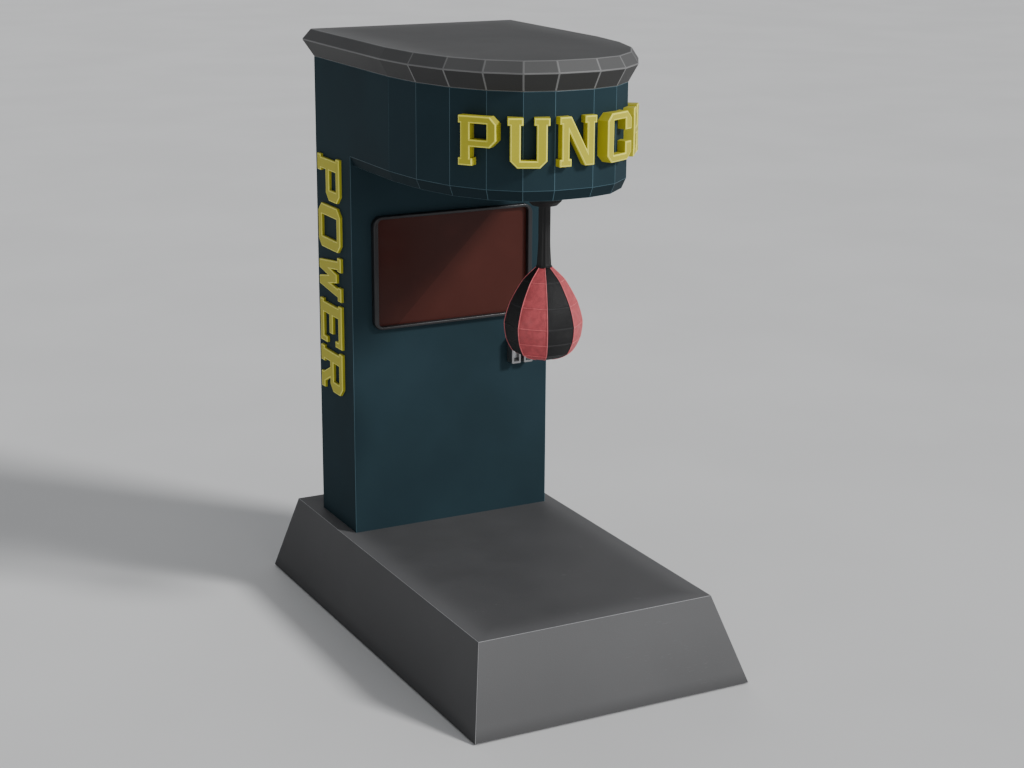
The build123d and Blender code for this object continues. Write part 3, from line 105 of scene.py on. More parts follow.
class Finish:
    """One material: a Principled shader and the nodes that feed it."""

    def __init__(self, name, constants):
        self.material = bpy.data.materials.new(name)
        self.material.use_nodes = True
        self.tree = self.material.node_tree
        self.shader = self.tree.nodes["Principled BSDF"]
        for socket, value in constants.items():
            self.shader.inputs[socket].default_value = value
        self.place = self.node("ShaderNodeTexCoord", out="Object")

    def node(self, kind, settings=None, inputs=None, out=0):
        made = self.tree.nodes.new(kind)
        for key, value in (settings or {}).items():
            setattr(made, key, value)
        for key, value in (inputs or {}).items():
            if isinstance(value, Expr):
                self.tree.links.new(value.socket, made.inputs[key])
            else:
                made.inputs[key].default_value = value
        return Expr(self, made.outputs[out])

    def feed(self, socket, value):
        self.tree.links.new(value.socket, self.shader.inputs[socket])

    def stretched(self, scale):
        """Object coordinates scaled by different amounts along X, Y and Z."""
        return self.node("ShaderNodeMapping", {}, {"Vector": self.place, "Scale": scale})

    def noise(self, scale, detail=2.0, at=None):
        return self.node("ShaderNodeTexNoise", {}, {"Vector": at or self.place, "Scale": scale,
                                                    "Detail": detail})

    def cells(self, scale, feature="F1"):
        return self.node("ShaderNodeTexVoronoi", {"feature": feature}, {"Vector": self.place, "Scale": scale})

    def axis(self, name):
        return self.node("ShaderNodeSeparateXYZ", {}, {0: self.place}, out=name)

    def facing_up(self):
        normal = self.node("ShaderNodeNewGeometry", out="Normal")
        return self.node("ShaderNodeSeparateXYZ", {}, {0: normal}, out="Z")

    def mix(self, share, first, second):
        return self.node("ShaderNodeMix", {"data_type": "RGBA"}, {0: share, 6: first, 7: second}, out=2)

    def bump(self, height, distance):
        return self.node("ShaderNodeBump", {}, {"Height": height, "Distance": distance, "Strength": 1.0})


def shade(colour, factor):
    """A lighter or darker version of a colour."""
    return tuple(min(1.0, c * factor) for c in colour[:3]) + (1.0,)


def from_srgb(red, green, blue):
    """Screen colour, 0 to 255, to the linear colour a shader takes."""
    return tuple(((c / 255 + 0.055) / 1.055) ** 2.4 if c > 10 else c / 255 / 12.92
                 for c in (red, green, blue)) + (1.0,)


print("shader helpers ready")

# %% [markdown]
# ## Objects and their materials
# Blender shows nothing until a mesh, curve or lamp sits on an object that is linked to the scene. Three small
# helpers do that linking, the dressing with materials and the smooth shading for every piece below.

# %% Small helpers for objects
def linked(name, data):
    """A new object that shows its data in the scene."""
    obj = bpy.data.objects.new(name, data)
    bpy.context.scene.collection.objects.link(obj)
    return obj


def dress(obj, *materials):
    """Gives an object its materials, in order."""
    obj.data.materials.clear()
    for material in materials:
        obj.data.materials.append(material)


def shade_smooth(mesh):
    """Lets the light run on from face to face over a mesh."""
    for polygon in mesh.polygons:
        polygon.use_smooth = True


print("object helpers ready")

# %% [markdown]
# ## Paint, gelcoat and enamel
# Powder coat has an orange-peel skin a millimetre or two across, a satin sheen, faint cloudiness, fine
# hairline scratches from cleaning, and dust that settles on what faces up. One function makes them all,
# because the teal cabinet, the grey base, the cap and the yellow letters differ only in its numbers.

# %% Paint
same_level = 0.0005            # points this close to the highest one lie on a part's flat top


def paint(name, colour, rough=0.5, peel=420.0, peel_depth=0.00012, dust=0.25, scratch=0.35, cloud=0.12,
          coat=0.0, gloss=0.3, underside_shade=0.0, floor_shade=0.0, painted_highlight=None):
    """Sprayed paint, with painted shade where it looks down and up to a height above the floor.
    The last argument takes the finish and gives where a painted highlight makes it paler."""
    finish = Finish(name, {"Coat Weight": coat, "Coat Roughness": 0.2, "Specular IOR Level": gloss})
    cloudy = finish.noise(2.2, 3.0)
    speckle = finish.noise(260.0, 2.0)
    hairs = finish.noise(30.0, 4.0, at=finish.stretched((1.0, 1.0, 22.0)))
    hairline = hairs.step(0.655, 0.70) * finish.noise(3.1, 2.0).step(0.50, 0.68)
    settled = finish.facing_up().step(0.75, 0.99) * finish.noise(6.0, 5.0).step(0.35, 0.75) * dust
    base = finish.mix(cloudy.step(0.3, 0.7), shade(colour, 1 - cloud), shade(colour, 1 + cloud))
    base = finish.mix(speckle.step(0.62, 0.75) * 0.25, base, shade(colour, 1.35))
    # painted highlight: paler where the given function says
    if painted_highlight:
        base = finish.mix(painted_highlight(finish) * (cloudy * 0.5 + 0.75), base, shade(colour, 1.9))
    base = finish.mix(hairline * scratch, base, shade(colour, 2.0))
    base = finish.mix(settled, base, shade(colour, 1.5))
    # painted shade on faces that look down
    if underside_shade:
        under = (finish.facing_up() * -1.0).step(0.25, 0.45)
        base = finish.mix(under * (cloudy * 0.3 + (underside_shade - 0.15)), base, shade(colour, 0.15))
    # painted shade up to a height above the floor
    if floor_shade:
        near_floor = 1.0 - finish.axis("Z").step(0.0, floor_shade)
        base = finish.mix(near_floor * (cloudy * 0.3 + 0.35), base, shade(colour, 0.3))
    finish.feed("Base Color", base)
    finish.feed("Roughness", cloudy * 0.12 + (rough - 0.06) + hairline * 0.12 + settled * 0.3)
    skin = finish.noise(peel, 1.0) + finish.noise(peel * 3.1, 1.0) * 0.35
    finish.feed("Normal", finish.bump(skin, peel_depth))
    return finish.material


def crown(name):
    """Half width and the two ends of a part's flat top, found from its highest points."""
    points = np.array([vertex.co[:] for vertex in nodes[name].data.vertices])
    top = points[points[:, 2] > points[:, 2].max() - same_level]
    return top[:, 0].max(), top[:, 1].min(), top[:, 1].max()


def painted_rim_light(name, rim, floor_height=None, front_too=True):
    """Painted highlight towards the rim of a part's top, and painted light higher up its sides or on sides
    that look partly up.
    """
    half_width, front, rear = crown(name)

    def painted_highlight(finish):
        beside = finish.axis("X").math("ABSOLUTE").step(half_width - rim, half_width)
        behind = finish.axis("Y").step(rear - rim, rear)
        edge = beside.math("MAXIMUM", behind)
        if front_too:
            edge = edge.math("MAXIMUM", (finish.axis("Y") * -1.0).step(-front - rim, -front))
        flat = finish.facing_up().step(0.95, 0.99)
        share = edge * edge * flat * 0.6
        if floor_height:
            share = share + finish.axis("Z").step(0.0, floor_height) * 0.22 * (1.0 - flat)
        else:
            share = share + finish.facing_up().step(0.1, 0.3) * (1.0 - flat) * 0.3
        return share

    return painted_highlight


teal = from_srgb(37, 55, 62)
base_grey = from_srgb(82, 82, 83)
cap_grey = from_srgb(78, 78, 78)
letter_yellow = from_srgb(194, 186, 60)
letter_highlight = from_srgb(250, 244, 96)
# painted highlights on the rims of the base's and the cap's tops, painted light on their sides
base_rim_light = painted_rim_light("base_shell", rim=0.16, floor_height=0.30)
cap_rim_light = painted_rim_light("top_cap", rim=0.20, front_too=False)
# the teal and cap paints carry painted shade where they look down, and the base paint carries painted shade
# near the floor
paints = {
    "teal": paint("teal_powder_coat", teal, rough=0.66, gloss=0.08, underside_shade=0.5),
    # the fold finishes are paler copies of the paints: painted highlights for the bevelled folds
    "teal_fold": paint("teal_fold_edge", shade(teal, 3.4), rough=0.4, dust=0.05),
    "base_grey": paint("base_texture_coat", base_grey, rough=0.62, peel=240.0, peel_depth=0.0003, dust=0.15,
                       scratch=0.5, cloud=0.07, floor_shade=0.055, painted_highlight=base_rim_light),
    "base_fold": paint("base_fold_edge", shade(base_grey, 4.6), rough=0.5, dust=0.1),
    "cap_grey": paint("cap_gelcoat", cap_grey, rough=0.5, peel=150.0, peel_depth=0.0002, dust=0.12,
                      cloud=0.08, gloss=0.2, underside_shade=0.6, painted_highlight=cap_rim_light),
    "cap_fold": paint("cap_fold_edge", shade(cap_grey, 2.4), rough=0.45, dust=0.1),
    "yellow": paint("letter_enamel", letter_yellow, rough=0.42, peel=200.0, peel_depth=0.00015, dust=0.1,
                    scratch=0.15, cloud=0.06, gloss=0.08),
    # painted highlight for the letters' bevels and the band round their fronts
    "yellow_edge": paint("letter_enamel_edge", letter_highlight, rough=0.35, dust=0.0, scratch=0.1, cloud=0.04,
                         coat=0.1),
    "frame_steel": paint("black_primer", from_srgb(42, 42, 44), rough=0.6, peel=320.0, dust=0.3),
}
print("paints:", ", ".join(paints))

# %% [markdown]
# ## Bare metals
# Zinc plating shows a faint crystal mottle, a die casting is duller and grainier, and sintered bronze is
# porous. All are metallic, so the colour variation is small and the roughness does the work.

# %% Metals
def bare_metal(name, colour, rough, mottle=60.0, pits=0.0, brushed=0.0):
    finish = Finish(name, {"Metallic": 1.0})
    crystal = finish.cells(mottle)
    cloudy = finish.noise(18.0, 4.0)
    lines = finish.noise(14.0, 2.0, at=finish.stretched((90.0, 1.0, 90.0)))
    finish.feed("Base Color", finish.mix(crystal.step(0.1, 0.7), shade(colour, 0.94), shade(colour, 1.04)))
    finish.feed("Roughness", cloudy * 0.18 + (rough - 0.09) + lines * brushed)
    grain = finish.noise(700.0, 2.0) * (0.3 + pits) + lines * brushed
    finish.feed("Normal", finish.bump(grain, 0.0001))
    return finish.material


metals = {
    "steel": bare_metal("zinc_plate", (0.56, 0.57, 0.58), 0.34, brushed=0.2),
    "spring_steel": bare_metal("spring_wire", (0.45, 0.45, 0.47), 0.3),
    "coin_metal": bare_metal("coin_entry_casting", (0.30, 0.30, 0.305), 0.5, mottle=1100.0, pits=0.6),
    "bronze": bare_metal("sintered_bronze", (0.50, 0.33, 0.14), 0.45, mottle=400.0, pits=0.9),
}
print("metals:", ", ".join(metals))

# %% [markdown]
# ## Plastics, rubber, boards and the window
# Moulded plastic has a spark-eroded grain, rubber a matt bloom, a circuit board copper tracks under
# green lacquer. The score window is smoked polycarbonate: its upper left half is painted darker, a painted
# shadow whose edge runs corner to corner.

# %% Plastics and rubber
def moulded(name, colour, rough, grain=900.0, depth=0.00006, bloom=0.15, coat=0.0):
    finish = Finish(name, {"Coat Weight": coat, "Coat Roughness": 0.1, "Specular IOR Level": 0.35})
    cloudy = finish.noise(9.0, 3.0)
    wiped = finish.noise(40.0, 4.0, at=finish.stretched((1.0, 1.0, 0.2)))
    finish.feed("Base Color", finish.mix(cloudy.step(0.35, 0.7) * bloom, colour, shade(colour, 1.9)))
    finish.feed("Roughness", wiped * 0.14 + (rough - 0.07))
    finish.feed("Normal", finish.bump(finish.noise(grain, 1.0), depth))
    return finish.material


def circuit():
    finish = Finish("circuit_board_lacquer", {"Coat Weight": 0.3})
    grid = finish.node("ShaderNodeTexBrick", {"offset": 0.37, "squash": 1.0},
                       {"Vector": finish.node("ShaderNodeMapping", {}, {"Vector": finish.place,
                                                                        "Rotation": (math.pi / 2, 0, 0)}),
                        "Scale": 60.0, "Mortar Size": 0.05, "Color1": (0, 0, 0, 1),
                        "Color2": (0, 0, 0, 1), "Mortar": (1, 1, 1, 1)})
    pads = 1.0 - finish.cells(180.0).step(0.12, 0.2)
    copper = finish.mix(grid, from_srgb(16, 72, 44), from_srgb(40, 116, 70))
    finish.feed("Base Color", finish.mix(pads * 0.6, copper, from_srgb(196, 186, 140)))
    finish.feed("Roughness", finish.noise(30.0) * 0.2 + 0.25)
    finish.feed("Normal", finish.bump(grid, 0.0001))
    return finish.material


window_low, window_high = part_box("screen_window")
window_mid = (window_low + window_high) / 2
window_size = window_high - window_low
painted_shadow_slope = 0.657             # window widths that the painted shadow's edge crosses in a window height
painted_shadow_offset = 0.0385           # of that edge from the window's middle, in window widths
painted_shadow_softness = 0.003


def smoked_window():
    finish = Finish("smoked_window", {"Specular IOR Level": 0.16})
    across = (finish.axis("X") - window_mid.x) * (1 / window_size.x)
    upward = (finish.axis("Z") - window_mid.z) * (1 / window_size.z)
    # the upper left half of the window is darkened: a painted shadow
    painted_shadow = (upward * painted_shadow_slope - across - painted_shadow_offset).step(-painted_shadow_softness, painted_shadow_softness)
    haze = finish.noise(7.0, 4.0)
    colour = finish.mix(painted_shadow, from_srgb(72, 34, 28), from_srgb(62, 28, 23))
    colour = finish.mix(haze.step(0.4, 0.8) * 0.2, colour, from_srgb(90, 46, 38))
    finish.feed("Base Color", colour)
    smears = finish.noise(12.0, 5.0, at=finish.stretched((1.0, 1.0, 2.6)))
    finish.feed("Roughness", smears.step(0.45, 0.8) * 0.12 + 0.30)
    finish.feed("Normal", finish.bump(finish.noise(3.0, 1.0), 0.0004))
    return finish.material


plastics = {
    "bezel_black": moulded("bezel_plastic", from_srgb(36, 36, 38), 0.36, grain=650.0, coat=0.1),
    "black_plastic": moulded("black_moulding", from_srgb(30, 30, 31), 0.48),
    "rubber": moulded("moulded_rubber", from_srgb(24, 24, 24), 0.6, grain=500.0, depth=0.0001, bloom=0.3),
    "circuit_board": circuit(),
    "smoked_window": smoked_window(),
}
finishes = {**paints, **metals, **plastics}
print("plastics:", ", ".join(plastics))

# %% [markdown]
# ## A finish on every part of the frame
# The record names one finish for each part, so the parts that already have the right shape only need the
# material that their slot asks for.

# %% Dress the engineering parts
for name, obj in nodes.items():
    dress(obj, finishes.get(slot_of[name], finishes["rubber"]))
print("dressed", len(nodes), "parts")

# %% [markdown]
# ## Folded edges
# Sheet steel is folded round a small radius, so every fold catches some light along a thin line. Each large
# panel is copied, its fold edges are bevelled in bmesh, and the new faces take a paler finish, a painted
# highlight along the fold. Only edges between two broad faces are folds: a sheet's cut rim is left square,
# and on the side panels it takes the painted highlight as well.

# %% A copy of a part that can be reshaped
same_place = 0.00002
same_plane = math.radians(1.0)


def merged_copy(name, piece_name, *materials):
    """A part's mesh with its loose triangles joined up, and an object that waits for it."""
    piece = linked(piece_name, bpy.data.meshes.new(piece_name))
    dress(piece, *materials)
    shape = bmesh.new()
    shape.from_mesh(nodes[name].data)
    bmesh.ops.remove_doubles(shape, verts=shape.verts, dist=same_place)
    bmesh.ops.dissolve_limit(shape, angle_limit=same_plane, verts=shape.verts, edges=shape.edges)
    for face in shape.faces:
        face.smooth = False
    return piece, shape


def stands_for(piece, shape, name):
    """Writes the reshaped mesh and puts the piece in the part's place."""
    shape.to_mesh(piece.data)
    shape.free()
    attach(piece, body_of[name])
    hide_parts(name)


# %% Bevel the folds of a panel
least_fold = 6.0               # degrees
rim_width = 0.003              # a strip narrower than this is the sheet's cut rim


def softened(name, piece_name, fold, main_finish, highlight_finish, broad=0.006, highlit_rims=False):
    """Bevels the edges between faces that are on average broader than `broad`."""
    piece, shape = merged_copy(name, piece_name, main_finish, highlight_finish)
    folds = []
    for edge in shape.edges:
        if len(edge.link_faces) != 2 or edge.calc_length() < 4 * fold:
            continue
        if math.degrees(edge.calc_face_angle(0.0)) < least_fold:
            continue
        if min(face.calc_area() for face in edge.link_faces) > broad * edge.calc_length():
            folds.append(edge)
    for face in shape.faces:
        # on the side panels the narrow cut rims take the painted highlight too
        narrow = face.calc_area() < rim_width * max(edge.calc_length() for edge in face.edges)
        face.material_index = 1 if highlit_rims and narrow else 0
    # the bevel's new faces take the second finish, a painted highlight
    bmesh.ops.bevel(shape, geom=folds, offset=fold, segments=2, profile=0.5, affect="EDGES",
                    clamp_overlap=True, material=1)
    bmesh.ops.triangulate(shape, faces=[face for face in shape.faces if len(face.verts) > 4])
    stands_for(piece, shape, name)
    print(piece_name, len(folds), "folds,", len(piece.data.polygons), "faces")


teal_pair = (finishes["teal"], finishes["teal_fold"])
softened("head_fascia", "fascia_skin", 0.0030, *teal_pair)
softened("soffit_panel", "soffit_skin", 0.0028, *teal_pair)
for side in ("left", "right"):
    softened("side_panel_" + side, side + "_side_skin", 0.0009, *teal_pair, broad=0.0019, highlit_rims=True)
softened("base_shell", "base_skin", 0.0050, finishes["base_grey"], finishes["base_fold"])
softened("top_cap", "cap_moulding", 0.0032, finishes["cap_grey"], finishes["cap_fold"])

# %% [markdown]
# ## Letters
# The raised letters are cut from thick board with a bevelled face and sprayed with enamel. The bevels are
# in the engineering shape; here they take a paler enamel, a painted highlight for the light a sharp edge
# catches under a lamp. So does a narrow band round each front, which is inset in bmesh.

# %% Find the flat front of each letter
same_way = 0.98                # dot product of two faces that look the same way


def letter_fronts(shape):
    """The faces of each letter that look straight out from the cabinet's middle line."""
    waiting = set(shape.faces)
    fronts = []
    for first in shape.faces:
        if first not in waiting:
            continue
        waiting.remove(first)
        letter = [first]
        for face in letter:
            for edge in face.edges:
                for other in edge.link_faces:
                    if other in waiting:
                        waiting.remove(other)
                        letter.append(other)
        broadest = max(letter, key=lambda face: face.calc_area())
        middle = broadest.calc_center_median()
        looks = broadest.normal if broadest.normal.dot((middle.x, middle.y, 0.0)) > 0 else -broadest.normal
        fronts += [face for face in letter if face.normal.dot(looks) > same_way]
    return fronts


# %% Painted highlight on the letters' bevels
# the band is a painted highlight round each letter's front
highlight_band = 0.0018             # width of the paler line round a front


def letters_with_highlit_bevels(name, piece_name, bevel):
    """Faces narrower than `bevel`, and the band round each front, take the paler enamel of a painted
    highlight.
    """
    piece, shape = merged_copy(name, piece_name, finishes["yellow"], finishes["yellow_edge"])
    bright = 0
    for face in shape.faces:
        longest = max(edge.calc_length() for edge in face.edges)
        face.material_index = 1 if face.calc_area() < bevel * longest else 0
        bright += face.material_index
    fronts = letter_fronts(shape)
    for face in fronts:
        face.material_index = 0
    ring = bmesh.ops.inset_region(shape, faces=fronts, thickness=highlight_band, use_even_offset=True)["faces"]
    for face in ring:
        face.material_index = 1
    stands_for(piece, shape, name)
    print(piece_name, bright, "bevel faces round", len(fronts), "letter faces")


letters_with_highlit_bevels("front_letters", "front_letter_set", bevel=0.0046)
letters_with_highlit_bevels("side_letters", "side_letter_set", bevel=0.0038)

# %% [markdown]
# ## Return spring
# Behind the latch bolt sits a coil that gets shorter as the bolt is pulled back. A rigid part can't do
# that. A copy of the coil stands in for it; the share of its length left after the bolt's travel is worked
# out, but nothing flattens it.

# %% Spring copy
spring_low, spring_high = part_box("latch_spring")
spring_length = spring_high.x - spring_low.x
bolt_travel = max(next(joint for joint in frame["record"]["behaviour"]["joints"]
                       if joint["name"] == "latch_slide")["range_m"])
end_clearance = 0.0004
spring, coil = merged_copy("latch_spring", "return_spring", finishes["spring_steel"])
stands_for(spring, coil, "latch_spring")
shade_smooth(spring.data)
1 - (bolt_travel + end_clearance) / spring_length
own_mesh(spring)
print("spring", round(spring_length * 1000, 1), "mm at rest, gives", round(bolt_travel * 1000, 1), "mm")

# %% [markdown]
# ## Leather
# The bag's cover is cow hide. Its grain is a net of small creases around rounded cells, so cell noise
# gives the height. Where gloves land, the colour rubs paler and the surface polishes.

# %% Hide
bag_low, bag_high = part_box("punch_bag")
bag_centre = (bag_low + bag_high) / 2
bag_height = bag_high.z - bag_low.z
bag_radius = (bag_high.x - bag_low.x) / 2
grain_scale = 420.0            # leather cells to a metre
pore_scale = 1500.0


def hide(name, colour, rub_colour):
    finish = Finish(name, {"Specular IOR Level": 0.32})
    drift = finish.noise(55.0, 2.0)
    grain = finish.cells(grain_scale)
    creases = finish.cells(grain_scale, "DISTANCE_TO_EDGE")
    pores = finish.cells(pore_scale)
    height_up = (finish.axis("Z") - bag_low.z) * (1 / bag_height)
    belt = height_up.step(0.12, 0.35) * (1.0 - height_up.step(0.45, 0.75))
    rubbed = belt * finish.noise(11.0, 5.0).step(0.48, 0.72)
    base = finish.mix(drift.step(0.3, 0.7), shade(colour, 0.86), shade(colour, 1.12))
    # darker in the creases of the grain: painted shade
    base = finish.mix((1.0 - creases.step(0.0, 0.12)) * 0.35, base, shade(colour, 0.5))
    base = finish.mix(rubbed * 0.55, base, rub_colour)
    finish.feed("Base Color", base)
    finish.feed("Roughness", drift * 0.14 + 0.40 - rubbed * 0.12 + grain * 0.08)
    relief = creases.step(0.0, 0.16) * 0.7 + pores * 0.2 + finish.noise(24.0, 3.0) * 1.6
    finish.feed("Normal", finish.bump(relief, 0.0006))
    return finish.material


red_hide = hide("red_hide", from_srgb(202, 88, 94), from_srgb(220, 122, 124))
black_hide = hide("black_hide", from_srgb(26, 26, 27), from_srgb(46, 45, 44))
# the piping is paler than its panels: a painted highlight along the seams
highlit_red_piping = hide("red_piping_hide", from_srgb(250, 128, 134), from_srgb(250, 150, 152))
highlit_black_piping = hide("black_piping_hide", from_srgb(62, 62, 63), from_srgb(80, 78, 76))
red_thread = moulded("red_waxed_thread", from_srgb(206, 104, 108), 0.5, grain=3000.0, depth=0.0001)
black_thread = moulded("black_waxed_thread", from_srgb(58, 58, 60), 0.5, grain=3000.0, depth=0.0001)
print("bag is", round(bag_radius * 2, 3), "m wide and", round(bag_height, 3), "m high")

# %% [markdown]
# ## The bag's eight gores
# A punch bag is eight leaf-shaped gores sewn edge to edge, with five cross seams from the shoulder to the
# foot. The panels swell between their seams when the bladder is pumped up. So the mesh is a grid with a line
# of points on every seam, the seams are pinned, and a short cloth run with inside pressure swells what lies
# between them.

# %% Section of the bag
gore_count = 8
columns_per_gore = 12
columns = gore_count * columns_per_gore
neck_share = (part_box("arm_sleeve")[1].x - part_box("arm_sleeve")[0].x) / 2 / bag_radius
section = [(neck_share, 0.0), (0.53, 0.14), (0.86, 0.38), (1.0, 0.59), (0.95, 0.76), (0.79, 0.89),
           (0.5, 0.975), (0.0, 1.0)]
seam_depths = (0.14, 0.38, 0.59, 0.76, 0.89)
rows_between_seams = (7, 11, 10, 8, 7, 9)
flatness_down = 0.5
flatness_across = 0.65


def smooth_section(steps_each):
    """The section as a smooth line of radius and depth below the neck, finely divided."""
    curve = bpy.data.curves.new("section", "CURVE")
    curve.dimensions = "3D"
    spline = curve.splines.new("BEZIER")
    spline.bezier_points.add(len(section) - 1)
    for point, (share, depth) in zip(spline.bezier_points, section):
        point.co = (share * bag_radius, 0.0, -depth * bag_height)
        point.handle_left_type = "AUTO"
        point.handle_right_type = "AUTO"
    spline.resolution_u = steps_each
    holder = bpy.data.objects.new("section", curve)
    mesh = bpy.data.meshes.new_from_object(holder)
    line = np.array([vertex.co[:] for vertex in mesh.vertices])
    bpy.data.objects.remove(holder)
    return line[:, [0, 2]]


fine = smooth_section(steps_each=60)
cuts = [0]
for depth in seam_depths:
    cuts.append(int(np.argmin(abs(-fine[:, 1] / bag_height - depth))))
cuts.append(len(fine) - 1)
outline = []
seam_rows = []
for first, final, count in zip(cuts, cuts[1:], rows_between_seams):
    for step in range(count):
        share = step / count
        curved = fine[round(first + (final - first) * share)]
        straight = fine[first] + (fine[final] - fine[first]) * share
        outline.append(curved + (straight - curved) * flatness_down)
    seam_rows.append(len(outline))
outline.append(fine[-1])
seam_rows = seam_rows[:-1]
rows = len(outline)
print("section has", rows, "rows with cross seams at", seam_rows)

# %% Grid of the gores
start_share = 0.985            # the cloth run starts from a slightly smaller bag
foot_rise = 0.001
grid = []
for row, (radius, z) in enumerate(outline[:-1]):
    for column in range(columns):
        turn = 2 * math.pi * column / columns + math.pi / gore_count
        off_middle = (column % columns_per_gore / columns_per_gore - 0.5) * 2 * math.pi / gore_count
        flat = math.cos(math.pi / gore_count) / math.cos(off_middle)
        reach = radius * start_share * (1 + (flat - 1) * flatness_across)
        grid.append((bag_centre.x + reach * math.sin(turn), bag_centre.y - reach * math.cos(turn),
                     bag_high.z + z))
foot_point = len(grid)
grid.append((bag_centre.x, bag_centre.y, bag_low.z + foot_rise))
faces = []
for row in range(rows - 2):
    for column in range(columns):
        after = (column + 1) % columns
        a, b = row * columns + column, row * columns + after
        faces.append((a, a + columns, b + columns, b))
last = (rows - 2) * columns
faces += [(last + column, foot_point, last + (column + 1) % columns) for column in range(columns)]
faces.append(tuple(range(columns)))
bag_mesh = bpy.data.meshes.new("bag_cover")
bag_mesh.from_pydata(grid, [], faces)
bag = linked("bag_cover", bag_mesh)
dress(bag, black_hide, red_hide)
for index, polygon in enumerate(bag_mesh.polygons):
    gore = (index % columns) // columns_per_gore
    polygon.material_index = (gore + 1) % 2
shade_smooth(bag_mesh)
pinned = [row * columns + column for row in range(rows - 1) for column in range(columns)
          if column % columns_per_gore == 0 or row in (0, 1, *seam_rows)] + [foot_point]
print("bag grid", len(grid), "points,", len(pinned), "of them pinned on seams")

# %% Swell it as cloth
def swell_as_cloth(obj, held, pressure, frames, cap):
    """Runs cloth with inside pressure, caps how far a point moves, and writes the result to the mesh."""
    before = np.array([vertex.co[:] for vertex in obj.data.vertices])
    group = obj.vertex_groups.new(name="seams")
    group.add(held, 1.0, "REPLACE")
    cloth = obj.modifiers.new("cloth", "CLOTH")
    cloth.settings.quality = 6
    cloth.settings.mass = 0.4
    cloth.settings.tension_stiffness = 25.0
    cloth.settings.compression_stiffness = 25.0
    cloth.settings.bending_stiffness = 1.5
    cloth.settings.use_pressure = True
    cloth.settings.uniform_pressure_force = pressure
    cloth.settings.vertex_group_mass = "seams"
    cloth.settings.effector_weights.gravity = 0.0
    cloth.collision_settings.use_collision = False
    scene = bpy.context.scene
    for step in range(1, frames + 1):
        scene.frame_set(step)
    shown = obj.evaluated_get(bpy.context.evaluated_depsgraph_get())
    after = np.array([vertex.co[:] for vertex in shown.data.vertices])
    obj.modifiers.remove(cloth)
    scene.frame_set(1)
    move = after - before
    size = np.linalg.norm(move, axis=1, keepdims=True)
    move *= np.minimum(1.0, cap / np.maximum(size, 1e-9))
    obj.data.vertices.foreach_set("co", (before + move).astype(np.float32).ravel())
    obj.data.update()
    print("cloth moved points by up to", round(float(size.max()) * 1000, 2), "mm")


swell_as_cloth(bag, pinned, pressure=160.0, frames=16, cap=0.004)

# %% [markdown]
# ## Seams and stitches
# Every seam is piped: a thin cord of hide is caught between the panels. The piping between gores is pale
# red, a painted highlight along the seam. Across a gore it takes the panel's own colour, a shade paler, also
# a painted highlight. Beside each seam runs a row of stitches. They repeat hundreds of times, so Geometry
# Nodes lay one small capsule along curves that are read off the swollen mesh.

# %% Lines that follow the seams
bag_points = np.array([vertex.co[:] for vertex in bag.data.vertices])
red_gores = range(0, gore_count, 2)
black_gores = range(1, gore_count, 2)
beside_seam = 0.42             # a row of stitches, as a share of the grid's first column or row
thread_lift = 0.0003
piping_lift = 0.0002
belly = 0.42                   # height of the bag's middle, as a share of its height
first_stitched_row = 3
rows_left_at_foot = 5


def lifted(point, height):
    """A point moved outwards from the bag's middle."""
    middle = np.array([bag_centre.x, bag_centre.y, bag_low.z + belly * bag_height])
    out = point - middle
    return point + out / np.linalg.norm(out) * height


def seam_line(column, side, first, final, lift):
    """Down a seam between two gores, or a little to one side of it."""
    neighbour = (column + side) % columns
    line = []
    for row in range(first, final):
        here = bag_points[row * columns + column % columns]
        there = bag_points[row * columns + neighbour]
        line.append(lifted(here + (there - here) * (beside_seam if side else 0.0), lift))
    return line


def cross_line(gore, row, side, lift):
    """Across one gore along a cross seam, or a little above or below it."""
    line = []
    for step in range(columns_per_gore + 1):
        column = (gore * columns_per_gore + step) % columns
        here = bag_points[row * columns + column]
        there = bag_points[(row + side) * columns + column]
        line.append(lifted(here + (there - here) * (beside_seam if side else 0.0), lift))
    return line


def curves_from(name, lines, closed=False):
    """A curve object with one straight-run spline for each line of points."""
    data = bpy.data.curves.new(name, "CURVE")
    data.dimensions = "3D"
    for line in lines:
        spline = data.splines.new("POLY")
        spline.points.add(len(line) - 1)
        for point, place in zip(spline.points, line):
            point.co = (*place, 1.0)
        spline.use_cyclic_u = closed
    return linked(name, data)


def stitch_lines(gores):
    """All rows of stitches that lie on some gores: down both edges and above and below cross seams."""
    lines = []
    for gore in gores:
        left, right = gore * columns_per_gore, (gore + 1) * columns_per_gore
        for column, side in ((left, 1), (right, -1)):
            lines.append(seam_line(column, side, first_stitched_row, rows - rows_left_at_foot, thread_lift))
        for row in seam_rows:
            lines += [cross_line(gore, row, side, thread_lift)[1:-1] for side in (-1, 1)]
    return lines


print(len(seam_rows), "cross seams on", len(red_gores), "red and", len(black_gores), "black gores")

